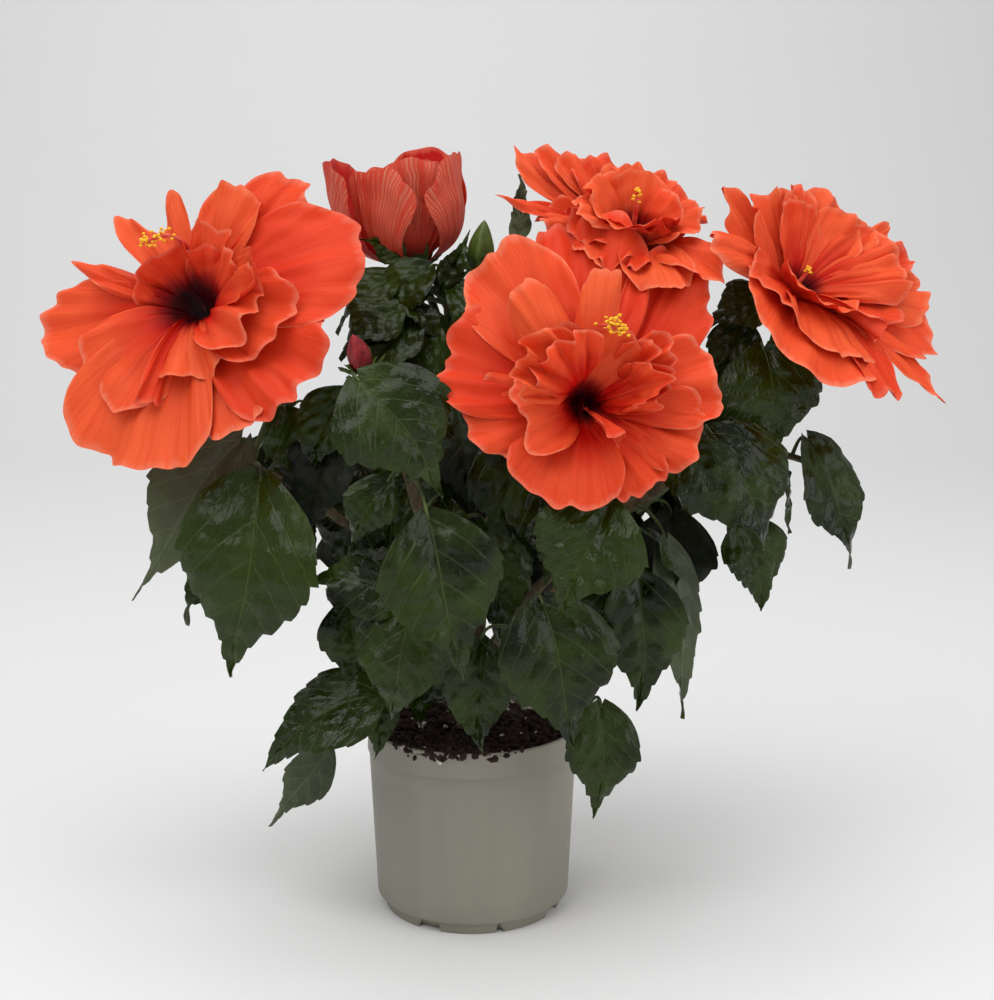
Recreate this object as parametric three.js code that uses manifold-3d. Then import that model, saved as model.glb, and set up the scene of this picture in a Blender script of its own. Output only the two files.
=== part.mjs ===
// Potted double-flowered hibiscus: a nursery pot with its root ball, a short woody stem that forks into
// boughs, masses of foliage hung on the boughs, and open blooms and buds on their own stalks.
// Millimetres, +Z up. The origin is the middle of the pot's flat underside, and -Y is the side that the
// largest blooms face.
import * as THREE from "three";
import { mergeVertices } from "three/addons/utils/BufferGeometryUtils.js";
import Module from "manifold-3d";

const wasm = await Module();
wasm.setup();

// Driving dimensions.
const GAP = 0.5; // clearance between touching pieces
const POT = {
  height: 116,
  rimRadius: 65.4,
  lipRound: 1,
  bandHeight: 16, // the plain band under the rim
  bandStep: 1.1,
  topRadius: 64.2, // of the wall just under the band
  baseRadius: 60,
  footRadius: 55.2,
  footHeight: 8,
  wall: 1.8,
  floor: 3,
  sides: 32,
};
const NOTCH = { count: 8, wide: 15, narrow: 5, height: 6, taper: 1.5, reach: 12, first: -27.5 };
const SOIL = { top: 112, edge: 108, flatRadius: 14, slopeRadius: 34, slopeDrop: 1.2, sides: 24 };
const TRUNK = {
  height: 40,
  lean: [3, -2], // of the fork from the foot
  radii: { 0: 11, 0.12: 8.6, 0.3: 7.5, 0.65: 6.8, 1: 6.2 }, // at shares of the height, with the root flare
  spread: 5, // how far out from the stem's line its boughs start at the fork
  sides: 10,
};
const SWELL = { leastLift: 0.3, turns: 16 }; // how a cutter's corners are moved out
const LIMB = { sides: 5, rings: 4, endRound: 1 };

const FINISH = {
  pot: { color: 0x8a8375, roughness: 0.55 },
  soil: { color: 0x2b1a12, roughness: 0.95 },
  bark: { color: 0x5b4a33, roughness: 0.85 },
  stalk: { color: 0x44552a, roughness: 0.6 },
  leaf: { color: 0x2c3a22, roughness: 0.45 },
  petal: { color: 0xee4f2e, roughness: 0.6 },
  bud: { color: 0x5d6b2c, roughness: 0.6 },
};

// Boughs: each grows from a share of the way along its parent to the mass of foliage that it enters.
// rise bows it upwards from the straight line, as a share of its length.
const BOUGHS = {
  bough_left: { parent: "trunk", at: 1, to: [-126, -52, 282], radii: [4.6, 2.8], rise: 0.1 },
  bough_left_low: { parent: "trunk", at: 0.75, to: [-76, -48, 144], radii: [3.4, 2.2], rise: 0.16 },
  bough_front: { parent: "trunk", at: 1, to: [-38, -98, 304], radii: [4.4, 2.6], rise: -0.05 },
  bough_front_left: { parent: "bough_front", at: 0.4, to: [-42, -96, 226], radii: [3, 2.1], rise: 0.1 },
  bough_front_low: { parent: "trunk", at: 0.8, to: [34, -80, 190], radii: [3.2, 2.1], rise: 0.15 },
  bough_front_right: { parent: "trunk", at: 1, to: [72, -74, 244], radii: [4.4, 2.6], rise: 0.08 },
  bough_right_low: { parent: "trunk", at: 0.6, to: [68, -62, 136], radii: [2.8, 2], rise: 0.3 },
  bough_right: { parent: "trunk", at: 1, to: [144, -52, 288], radii: [4.8, 2.8], rise: 0.1 },
  bough_right_tip: { parent: "bough_right", at: 0.72, to: [204, -18, 278], radii: [3, 2], rise: 0.16 },
  bough_right_upper: { parent: "bough_right", at: 0.66, to: [168, -28, 322], radii: [3, 2.2], rise: 0 },
  bough_top: { parent: "trunk", at: 1, to: [-14, 0, 372], radii: [5, 2.8], rise: 0 },
  bough_back_top: { parent: "bough_top", at: 0.55, to: [34, 62, 338], radii: [3.2, 2.2], rise: 0.05 },
  bough_back_left: { parent: "trunk", at: 1, to: [-98, 62, 284], radii: [4.4, 2.6], rise: 0.1 },
  bough_back_right: { parent: "trunk", at: 1, to: [126, 62, 276], radii: [4.4, 2.6], rise: 0.1 },
  bough_back: { parent: "trunk", at: 1, to: [12, 114, 256], radii: [4.2, 2.4], rise: 0.12 },
  bough_back_low_left: { parent: "trunk", at: 0.7, to: [-50, 74, 186], radii: [3, 2], rise: 0.16 },
  bough_back_low_right: { parent: "trunk", at: 0.75, to: [68, 74, 184], radii: [3, 2], rise: 0.16 },
};

// Masses of foliage: the middle and half sizes of each, how far its foot leans along X from its top, and
// how many leaf tips hang along its lower edge.
const MASSES = {
  leaves_left_outer: { middle: [-139, -60, 234], half: [46, 19, 70], lean: -8, tips: 3, seed: 1.3 },
  leaves_left_low: { middle: [-89, -52, 116], half: [37, 16, 53], lean: -20, tips: 2, seed: 2.1 },
  leaves_left_inner: { middle: [-39, -104, 294], half: [38, 17, 56], lean: 16, tips: 2, seed: 4.1 },
  leaves_front_left: { middle: [-31, -102, 208], half: [50, 18, 54], lean: 6, tips: 3, seed: 4.9 },
  leaves_front_low: { middle: [36, -86, 168], half: [38, 17, 46], lean: 10, tips: 3, seed: 5.2 },
  leaves_front_right: { middle: [82, -80, 208], half: [43, 20, 62], lean: 22, tips: 3, seed: 6.4 },
  leaves_right_low: { middle: [71, -66, 116], half: [23, 13, 37], lean: 2, tips: 1, seed: 7.8 },
  leaves_right_outer: { middle: [147, -60, 258], half: [46, 21, 60], lean: 34, tips: 3, seed: 8.1 },
  leaves_right_tip: { middle: [209, -20, 255], half: [24, 16, 42], lean: 16, tips: 1, seed: 9.6 },
  leaves_right_upper: { middle: [172, -30, 330], half: [36, 20, 50], lean: 22, tips: 2, seed: 10.2 },
  leaves_crown: { middle: [-14, -4, 370], half: [54, 26, 32], lean: 0, tips: 4, seed: 11.5 },
  leaves_left_heart: { middle: [-78, 4, 250], half: [28, 34, 52], lean: 12, tips: 3, seed: 18.3 },
  leaves_right_heart: { middle: [92, 2, 240], half: [30, 34, 52], lean: -12, tips: 3, seed: 19.1 },
  leaves_back_top: { middle: [30, 66, 332], half: [70, 26, 48], lean: 0, tips: 4, seed: 12.3 },
  leaves_back_left: { middle: [-100, 66, 262], half: [56, 26, 74], lean: 16, tips: 3, seed: 13.4 },
  leaves_back_right: { middle: [120, 66, 262], half: [56, 26, 70], lean: 0, tips: 3, seed: 14.8 },
  leaves_back: { middle: [12, 122, 220], half: [62, 24, 72], lean: 0, tips: 3, seed: 15.1 },
  leaves_back_low_left: { middle: [-54, 84, 166], half: [42, 22, 54], lean: 8, tips: 3, seed: 16.7 },
  leaves_back_low_right: { middle: [74, 84, 162], half: [42, 22, 54], lean: -6, tips: 3, seed: 17.9 },
};
// A mass is a ball of facets swollen and dented by waves, drawn in and notched towards its foot.
const LUMP = { broad: 0.1, fine: 0.08, notch: 0.35, taper: 0.42, smallHalf: 53.5 };

// Open double blooms: seat is the top of the stalk, facing the way the bloom looks, reach its radius.
const BLOOMS = {
  bloom_left: { seat: [-140, -52, 350], facing: [-0.3, -0.82, 0.44], reach: 96, depth: 60, seed: 0.4 },
  bloom_centre: { seat: [60, -88, 339], facing: [0.02, -0.93, 0.34], reach: 77, depth: 60, seed: 1.9 },
  bloom_top: { seat: [75, -26, 400], facing: [0.08, -0.6, 0.8], reach: 62, depth: 58, seed: 2.6 },
  bloom_right: { seat: [188, -20, 362], facing: [0.52, -0.56, 0.64], reach: 82, depth: 54, seed: 3.3 },
  bloom_back: { seat: [78, 110, 338], facing: [0.2, 0.88, 0.42], reach: 60, depth: 52, seed: 4.2 },
};
const BLOOM = { sides: 16, lobes: 5, wave: 0.08, sway: 0.09, seatRadius: 5 };
// The section of a bloom from its seat to its domed middle, as shares of its reach and of its depth.
const BLOOM_SECTION = [
  [0, 0],
  [0.14, 0.24],
  [0.6, 0.46],
  [1, 0.46],
  [0.92, 0.58],
  [0.6, 0.66],
  [0.3, 0.96],
];

// Buds: the opening one is a cup of furled petals, the others are closed.
const BUDS = {
  bud_opening: { seat: [-31, 5, 396], facing: [-0.16, -0.06, 0.98], length: 66, radius: 37, form: "cup" },
  bud_green: { seat: [5, -12, 393], facing: [0.1, -0.1, 0.98], length: 26, radius: 8, form: "spindle" },
  bud_red: { seat: [-56, -92, 340], facing: [-0.2, -0.5, 0.8], length: 19, radius: 6.5, form: "spindle" },
  bud_back: { seat: [70, 108, 380], facing: [0.3, 0.4, 0.86], length: 34, radius: 9, form: "spindle" },
};
const BUD_SIDES = 10;
const BUD_LOOK = { bud_opening: "petal", bud_green: "bud", bud_red: "petal", bud_back: "bud" };
// The section of a bud from its seat to its mouth or tip, as shares of its radius and of its length.
const BUD_FORMS = {
  spindle: {
    section: [
      [0.3, 0],
      [0.85, 0.2],
      [1, 0.45],
      [0.75, 0.75],
      [0.25, 0.97],
    ],
    middle: 1,
  },
  cup: {
    section: [
      [0.14, 0],
      [0.5, 0.22],
      [0.84, 0.5],
      [0.97, 0.8],
      [1, 1],
      [0.86, 0.98],
      [0.6, 0.8],
    ],
    middle: 0.75,
  },
};

// Stalks: the bare stem under each bloom or bud, from a share of the way along a bough.
const STALKS = {
  stalk_left: { parent: "bough_left", at: 0.7, head: "bloom_left", radii: [2.6, 2.4], rise: 0.12 },
  stalk_centre: { parent: "bough_front_right", at: 0.7, head: "bloom_centre", radii: [2.6, 2.4], rise: -0.1 },
  stalk_top: { parent: "bough_top", at: 0.5, head: "bloom_top", radii: [2.6, 2.4], rise: -0.06 },
  stalk_right: { parent: "bough_right", at: 0.6, head: "bloom_right", radii: [2.6, 2.4], rise: -0.1 },
  stalk_back: { parent: "bough_back", at: 0.5, head: "bloom_back", radii: [2.6, 2.4], rise: -0.1 },
  stalk_bud_opening: { parent: "bough_top", at: 0.86, head: "bud_opening", radii: [2.6, 2.6], rise: 0 },
  stalk_bud_green: { parent: "bough_top", at: 0.8, head: "bud_green", radii: [1.8, 1.7], rise: 0 },
  stalk_bud_red: { parent: "bough_front", at: 0.8, head: "bud_red", radii: [1.6, 1.5], rise: 0 },
  stalk_bud_back: { parent: "bough_back_top", at: 0.8, head: "bud_back", radii: [1.8, 1.7], rise: 0 },
};

const ALONG_X = new THREE.Vector3(1, 0, 0);
const ALONG_Y = new THREE.Vector3(0, 1, 0);
const ALONG_Z = new THREE.Vector3(0, 0, 1);

const materials = Object.fromEntries(
  Object.entries(FINISH).map(([name, look]) => [
    name,
    new THREE.MeshStandardMaterial({ name, metalness: 0, ...look }),
  ]),
);

// A solid of revolution about Z from [radius, height] points that start and end on the axis.
function turned(profile, sides) {
  const points = profile.map(([radius, height]) => new THREE.Vector2(radius, height));
  return new THREE.LatheGeometry(points, sides).rotateX(Math.PI / 2);
}

// A closed skin over rows of points, each row a ring of the same count, with a point to cap each end.
function lofted(rows, firstCap, lastCap) {
  const count = rows[0].length;
  const firstIndex = rows.length * count;
  const lastIndex = firstIndex + 1;
  const lastRow = firstIndex - count;
  const index = [];
  for (let i = 0; i < count; i++) {
    const j = (i + 1) % count;
    index.push(firstIndex, j, i);
    for (let low = 0; low < lastRow; low += count) {
      const high = low + count;
      index.push(low + i, low + j, high + j);
      index.push(low + i, high + j, high + i);
    }
    index.push(lastIndex, lastRow + i, lastRow + j);
  }
  const position = [...rows.flat(), firstCap, lastCap].flatMap((point) => point.toArray());
  const geometry = new THREE.BufferGeometry();
  geometry.setAttribute("position", new THREE.Float32BufferAttribute(position, 3));
  geometry.setIndex(index);
  return geometry;
}

// A ring of points round a middle, in the plane of two unit vectors.
function ring(middle, across, up, radius, sides) {
  return Array.from({ length: sides }, (_, i) => {
    const turn = (2 * Math.PI * i) / sides;
    return middle
      .clone()
      .addScaledVector(across, radius * Math.cos(turn))
      .addScaledVector(up, radius * Math.sin(turn));
  });
}

// A geometry with only its positions, its shared vertices merged.
function bare(geometry) {
  const copy = geometry.clone();
  copy.deleteAttribute("normal");
  copy.deleteAttribute("uv");
  return mergeVertices(copy, 1e-4);
}

// The manifold solid of a geometry, with every face moved out by grow.
function solidOf(geometry, grow = 0) {
  const merged = bare(geometry);
  if (grow) swell(merged, grow);
  const mesh = new wasm.Mesh({
    numProp: 3,
    vertProperties: merged.attributes.position.array,
    triVerts: new Uint32Array(merged.index.array),
  });
  return new wasm.Manifold(mesh);
}

// Moves each vertex of an indexed mesh so far that every face round it moves out by at least the distance.
function swell({ index, attributes: { position } }, distance) {
  const corner = (i) => new THREE.Vector3().fromBufferAttribute(position, index.array[i]);
  const facesRound = Array.from({ length: position.count }, () => []);
  for (let i = 0; i < index.count; i += 3) {
    const face = new THREE.Triangle(corner(i), corner(i + 1), corner(i + 2));
    const normal = face.getNormal(new THREE.Vector3());
    for (let k = 0; k < 3; k++) facesRound[index.array[i + k]].push(normal);
  }
  facesRound.forEach((normals, i) => {
    const outwards = outwardsOfAll(normals);
    const least = Math.min(...normals.map((normal) => normal.dot(outwards)));
    const reach = distance / Math.max(least, SWELL.leastLift);
    position.setXYZ(
      i,
      position.getX(i) + reach * outwards.x,
      position.getY(i) + reach * outwards.y,
      position.getZ(i) + reach * outwards.z,
    );
  });
}

// The unit vector that leans out of every one of some faces: their mean, drawn towards the least served.
function outwardsOfAll(normals) {
  const mean = normals.reduce((sum, normal) => sum.add(normal), new THREE.Vector3()).normalize();
  for (let k = 1; k <= SWELL.turns; k++) {
    const worst = normals.reduce((low, normal) => (normal.dot(mean) < low.dot(mean) ? normal : low));
    mean.addScaledVector(worst, 1 / (k + 1)).normalize();
  }
  return mean;
}

// The geometry of a solid's largest body.
function geometryOf(solid) {
  const largest = solid.decompose().sort((a, b) => b.volume() - a.volume())[0];
  const { vertProperties, triVerts } = largest.getMesh();
  const geometry = new THREE.BufferGeometry();
  geometry.setAttribute("position", new THREE.Float32BufferAttribute(vertProperties, 3));
  geometry.setIndex([...triVerts]);
  return geometry.toNonIndexed();
}

// The pot: a tapering wall with a plain band under its lip, on a foot ring with drainage notches.
function pot() {
  const { height, wall, floor, footRadius, footHeight, baseRadius, topRadius, rimRadius, lipRound } = POT;
  const bandFoot = height - POT.bandHeight;
  const profile = [
    [0, 0],
    [footRadius, 0],
    [footRadius, footHeight - wall],
    [baseRadius, footHeight],
    [topRadius, bandFoot],
    [topRadius + POT.bandStep, bandFoot + lipRound],
    [rimRadius, height - lipRound],
    [rimRadius - lipRound / 2, height],
    [rimRadius - wall, height],
    [topRadius - wall, bandFoot],
    [footRadius - wall, footHeight + wall],
    [footRadius - 2 * wall, floor],
    [0, floor],
  ];
  let body = solidOf(turned(profile, POT.sides));
  for (let i = 0; i < NOTCH.count; i++) {
    body = body.subtract(solidOf(notchCutter(i % 2 ? NOTCH.narrow : NOTCH.wide, i)));
  }
  return geometryOf(body);
}

// One notch's cutter: an arch that runs in through the foot ring.
function notchCutter(width, order) {
  const below = -1;
  const arch = new THREE.Shape([
    new THREE.Vector2(-width / 2, below),
    new THREE.Vector2(width / 2, below),
    new THREE.Vector2(width / 2 - NOTCH.taper, NOTCH.height),
    new THREE.Vector2(-width / 2 + NOTCH.taper, NOTCH.height),
  ]);
  const turn = THREE.MathUtils.degToRad(NOTCH.first + (360 / NOTCH.count) * order);
  return new THREE.ExtrudeGeometry(arch, { depth: NOTCH.reach, bevelEnabled: false })
    .rotateX(Math.PI / 2)
    .translate(0, NOTCH.reach / 2 - POT.footRadius, 0)
    .rotateZ(turn);
}

// The root ball: it fills the pot and rises a little to the flat that the stem stands on.
function soil() {
  const { footRadius, footHeight, topRadius, wall, floor } = POT;
  const bandFoot = POT.height - POT.bandHeight;
  const profile = [
    [0, floor + GAP],
    [footRadius - 2 * wall - GAP, floor + GAP],
    [footRadius - wall - GAP, footHeight + wall],
    [topRadius - wall - GAP, bandFoot],
    [topRadius - wall - GAP, SOIL.edge],
    [SOIL.slopeRadius, SOIL.top - SOIL.slopeDrop],
    [SOIL.flatRadius, SOIL.top],
    [0, SOIL.top],
  ];
  return turned(profile, SOIL.sides);
}

// A point a share of the way up the stem's leaning line.
function alongTrunk(share) {
  const [x, y] = TRUNK.lean;
  return new THREE.Vector3(x * share, y * share, SOIL.top + GAP + TRUNK.height * share);
}

// The short stem, with its root flare, from a flat foot on the soil to the fork.
function trunk() {
  const rows = Object.entries(TRUNK.radii)
    .sort(([low], [high]) => low - high)
    .map(([share, radius]) => ring(alongTrunk(share), ALONG_X, ALONG_Y, radius, TRUNK.sides));
  return lofted(rows, alongTrunk(0), alongTrunk(1).addScaledVector(ALONG_Z, LIMB.endRound));
}

// The curve of a limb: it leaves its parent, bows by rise and ends at its tip.
function limbCurve({ parent, at, rise }, tip) {
  const end = new THREE.Vector3(...tip);
  const start = parent === "trunk" ? alongTrunk(at) : curves.get(parent).getPointAt(at);
  if (parent === "trunk") {
    start.add(end.clone().sub(start).setZ(0).setLength(TRUNK.spread * at));
  }
  const bow = 2 * rise * start.distanceTo(end);
  const bend = start.clone().lerp(end, 0.5).addScaledVector(ALONG_Z, bow);
  return new THREE.QuadraticBezierCurve3(start, bend, end);
}

// One tapering limb along a curve, rounded a little at both ends.
function limb(curve, [thick, thin]) {
  const { tangents, normals, binormals } = curve.computeFrenetFrames(LIMB.rings, false);
  const rows = tangents.map((_, k) => {
    const share = k / LIMB.rings;
    const radius = THREE.MathUtils.lerp(thick, thin, share);
    return ring(curve.getPointAt(share), normals[k], binormals[k], radius, LIMB.sides);
  });
  const firstCap = curve.getPointAt(0).addScaledVector(tangents[0], -LIMB.endRound);
  const lastCap = curve.getPointAt(1).addScaledVector(tangents[LIMB.rings], LIMB.endRound);
  return lofted(rows, firstCap, lastCap);
}

// A mass of foliage: a lumpy ball stretched to its box, with leaf tips hanging along its lower edge.
function leafMass({ middle, half, lean, tips, seed }) {
  const ball = bare(new THREE.IcosahedronGeometry(1, half[2] < LUMP.smallHalf ? 1 : 2));
  const { position } = ball.attributes;
  const point = new THREE.Vector3();
  for (let i = 0; i < position.count; i++) {
    point.fromBufferAttribute(position, i);
    const around = Math.atan2(point.y, point.x);
    const broad = Math.sin(4.1 * point.x + seed) * Math.cos(3.3 * point.z - seed);
    const fine = Math.sin(5.2 * point.y + 2 * point.z + 2 * seed);
    const hang = Math.max(0, -point.z);
    const notch = hang * Math.sqrt(1 - 0.9 * hang) * Math.cos(tips * around + seed);
    const swell = (1 + LUMP.broad * broad + LUMP.fine * fine) * (1 + LUMP.notch * notch);
    const drawnIn = 1 - LUMP.taper * hang * hang;
    point.multiplyScalar(swell);
    const across = point.x * drawnIn - (lean / half[0]) * point.z;
    position.setXYZ(i, across, point.y * drawnIn, point.z);
  }
  return fitted(ball, middle, half);
}

// Moves and stretches a geometry so that its box has a given middle and half sizes.
function fitted(geometry, middle, half) {
  geometry.center();
  geometry.computeBoundingBox();
  const { max } = geometry.boundingBox;
  return geometry.scale(half[0] / max.x, half[1] / max.y, half[2] / max.z).translate(...middle);
}

// Turns a shape made round +Z at the origin to face along a direction from a seat.
function seated(geometry, seat, facing) {
  const direction = new THREE.Vector3(...facing).normalize();
  const turn = new THREE.Quaternion().setFromUnitVectors(ALONG_Z, direction);
  return geometry.applyQuaternion(turn).translate(...seat);
}

// An open double bloom: a ruffled saucer with a domed middle on a narrow throat.
function bloom({ seat, facing, reach, depth, seed }) {
  const { sides, lobes, wave, sway, seatRadius } = BLOOM;
  const rows = BLOOM_SECTION.map(([out, up]) => {
    const radius = THREE.MathUtils.lerp(seatRadius, reach / (1 + wave), out);
    return Array.from({ length: sides }, (_, i) => {
      const turn = (2 * Math.PI * i) / sides;
      const across = radius * (1 + wave * out * Math.cos(lobes * turn + seed));
      const lift = sway * out * out * Math.sin(3 * turn + 2 * seed);
      return new THREE.Vector3(across * Math.cos(turn), across * Math.sin(turn), depth * (up + lift));
    });
  });
  return seated(lofted(rows, new THREE.Vector3(), new THREE.Vector3(0, 0, depth)), seat, facing);
}

// A bud: a spindle when closed, a cup with a hollow mouth when open.
function bud({ seat, facing, length, radius, form }) {
  const { section, middle } = BUD_FORMS[form];
  const rows = section.map(([out, up]) => {
    const height = new THREE.Vector3(0, 0, length * up);
    return ring(height, ALONG_X, ALONG_Y, radius * out, BUD_SIDES);
  });
  const inside = new THREE.Vector3(0, 0, length * middle);
  return seated(lofted(rows, new THREE.Vector3(), inside), seat, facing);
}

const group = new THREE.Group();
const curves = new Map(); // the line of each limb by name
const placed = []; // the box and the cutter of each solid that later ones keep clear of

function addMesh(name, geometry, look) {
  const mesh = new THREE.Mesh(geometry, materials[look]);
  mesh.name = name;
  group.add(mesh);
}

function keepClearOf(geometry) {
  geometry.computeBoundingBox();
  placed.push({ box: geometry.boundingBox.clone().expandByScalar(GAP), cutter: solidOf(geometry, GAP) });
}

// Adds a node, cut clear of every earlier piece that its box meets.
function add(name, geometry, look) {
  geometry.computeBoundingBox();
  let body = solidOf(geometry);
  for (const { box, cutter } of placed) {
    if (box.intersectsBox(geometry.boundingBox)) body = body.subtract(cutter);
  }
  keepClearOf(geometry);
  addMesh(name, geometryOf(body), look);
}

addMesh("pot", pot(), "pot");
addMesh("soil", soil(), "soil");
add("trunk", trunk(), "bark");
for (const [name, bough] of Object.entries(BOUGHS)) {
  curves.set(name, limbCurve(bough, bough.to));
  add(name, limb(curves.get(name), bough.radii), "bark");
}
for (const [name, stalk] of Object.entries(STALKS)) {
  const { seat } = BLOOMS[stalk.head] ?? BUDS[stalk.head];
  curves.set(name, limbCurve(stalk, seat));
  add(name, limb(curves.get(name), stalk.radii), "stalk");
}
for (const [name, shape] of Object.entries(BUDS)) add(name, bud(shape), BUD_LOOK[name]);
for (const [name, shape] of Object.entries(BLOOMS)) add(name, bloom(shape), "petal");

// The pot as one plain solid, which the foliage that hangs past it keeps clear of.
keepClearOf(
  turned(
    [
      [0, 0],
      [POT.baseRadius, 0],
      [POT.rimRadius, POT.height],
      [0, POT.height],
    ],
    POT.sides,
  ),
);
for (const [name, shape] of Object.entries(MASSES)) add(name, leafMass(shape), "leaf");

export default group;
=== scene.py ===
"""Potted double-flowered hibiscus: the looks of the plant, its pot and its soil.

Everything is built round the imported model, in metres and in its frame. The sizes kept in the
classes are millimetres, and degrees where they are angles. A leaf's place is given from the middle
of the box of its mass, and a petal's from its bloom's seat.
"""
import logging
import math
from dataclasses import dataclass, field
from enum import Enum
from typing import ClassVar

import bpy
import numpy as np
from mathutils import Matrix, Vector


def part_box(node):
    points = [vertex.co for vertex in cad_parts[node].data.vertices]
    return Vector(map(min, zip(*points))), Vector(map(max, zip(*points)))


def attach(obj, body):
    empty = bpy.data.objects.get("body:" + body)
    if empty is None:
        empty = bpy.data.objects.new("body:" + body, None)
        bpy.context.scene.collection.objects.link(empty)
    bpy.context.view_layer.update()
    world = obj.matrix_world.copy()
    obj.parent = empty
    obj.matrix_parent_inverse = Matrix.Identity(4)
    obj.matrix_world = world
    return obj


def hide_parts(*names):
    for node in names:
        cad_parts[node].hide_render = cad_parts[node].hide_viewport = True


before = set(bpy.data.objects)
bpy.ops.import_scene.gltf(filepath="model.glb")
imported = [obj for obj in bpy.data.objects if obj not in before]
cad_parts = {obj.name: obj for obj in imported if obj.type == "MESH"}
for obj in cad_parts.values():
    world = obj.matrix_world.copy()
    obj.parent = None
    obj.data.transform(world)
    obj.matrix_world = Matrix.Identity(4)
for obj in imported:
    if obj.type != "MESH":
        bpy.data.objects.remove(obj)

MM = 0.001  # metres in a millimetre
BODY = "root"
log = logging.getLogger("hibiscus")

Array = np.ndarray
Point = tuple[float, float, float]
Colour = tuple[float, float, float, float]


class Slot(Enum):
    """Names for the material slots, which this script does not use."""

    POT = "pot"
    SOIL = "soil"
    BARK = "bark"
    STALK = "stalk"
    LEAF = "leaf"
    PETAL = "petal"
    BUD = "bud"


# -------- shader expressions


def paint(red: int, green: int, blue: int) -> Colour:
    """Turns a colour as a screen shows it, 0 to 255, into the linear values that a socket takes.

    Args:
        red: its red.
        green: its green.
        blue: its blue.

    Returns:
        The linear colour.
    """
    share = np.array([red, green, blue]) / 255
    linear = np.where(share <= 0.04045, share / 12.92, ((share + 0.055) / 1.055) ** 2.4)
    return (float(linear[0]), float(linear[1]), float(linear[2]), 1.0)


class Value:
    """An output socket that takes part in expressions: each operator adds a Math node."""

    def __init__(self, wires: "Wires", socket: bpy.types.NodeSocket) -> None:
        """Keeps the node tree and the socket."""
        self.wires = wires
        self.socket = socket

    def math(self, operation: str, *others: "Value | float") -> "Value":
        """Adds a Math node.

        Args:
            operation: the node's operation.
            others: its second and third numbers or sockets.

        Returns:
            The node's result.
        """
        values = dict(enumerate((self, *others)))
        return self.wires.node("ShaderNodeMath", {"operation": operation}, values)["Value"]

    def __add__(self, other: "Value | float") -> "Value":
        """The sum."""
        return self.math("ADD", other)

    __radd__ = __add__

    def __mul__(self, other: "Value | float") -> "Value":
        """The product."""
        return self.math("MULTIPLY", other)

    __rmul__ = __mul__

    def __sub__(self, other: "Value | float") -> "Value":
        """The difference."""
        return self.math("SUBTRACT", other)

    def __rsub__(self, other: float) -> "Value":
        """A number less this value."""
        return self.math("MULTIPLY_ADD", -1.0, other)

    def __abs__(self) -> "Value":
        """The size without its sign."""
        return self.math("ABSOLUTE")

    def step(self, low: float, high: float) -> "Value":
        """Runs smoothly from 0 at low to 1 at high.

        Args:
            low: where it leaves 0.
            high: where it reaches 1.

        Returns:
            The share.
        """
        settings = {"interpolation_type": "SMOOTHSTEP"}
        values = {"Value": self, "From Min": low, "From Max": high}
        return self.wires.node("ShaderNodeMapRange", settings, values)["Result"]

    def away(self) -> "Value":
        """How far the value is from the nearest whole number, 0 to 0.5."""
        return self.math("PINGPONG", 0.5)


class Outputs:
    """A node whose outputs are read by name as values."""

    def __init__(self, wires: "Wires", node: bpy.types.Node) -> None:
        """Keeps the node tree and the node."""
        self.wires = wires
        self.node = node

    def __getitem__(self, name: str) -> Value:
        """The output of that name or identifier.

        Args:
            name: its name or identifier.

        Returns:
            The output as a value; one in use comes first.
        """
        found = [socket for socket in self.node.outputs if name in (socket.identifier, socket.name)]
        enabled = [socket for socket in found if socket.enabled]
        return Value(self.wires, (enabled or found)[0])


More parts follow.
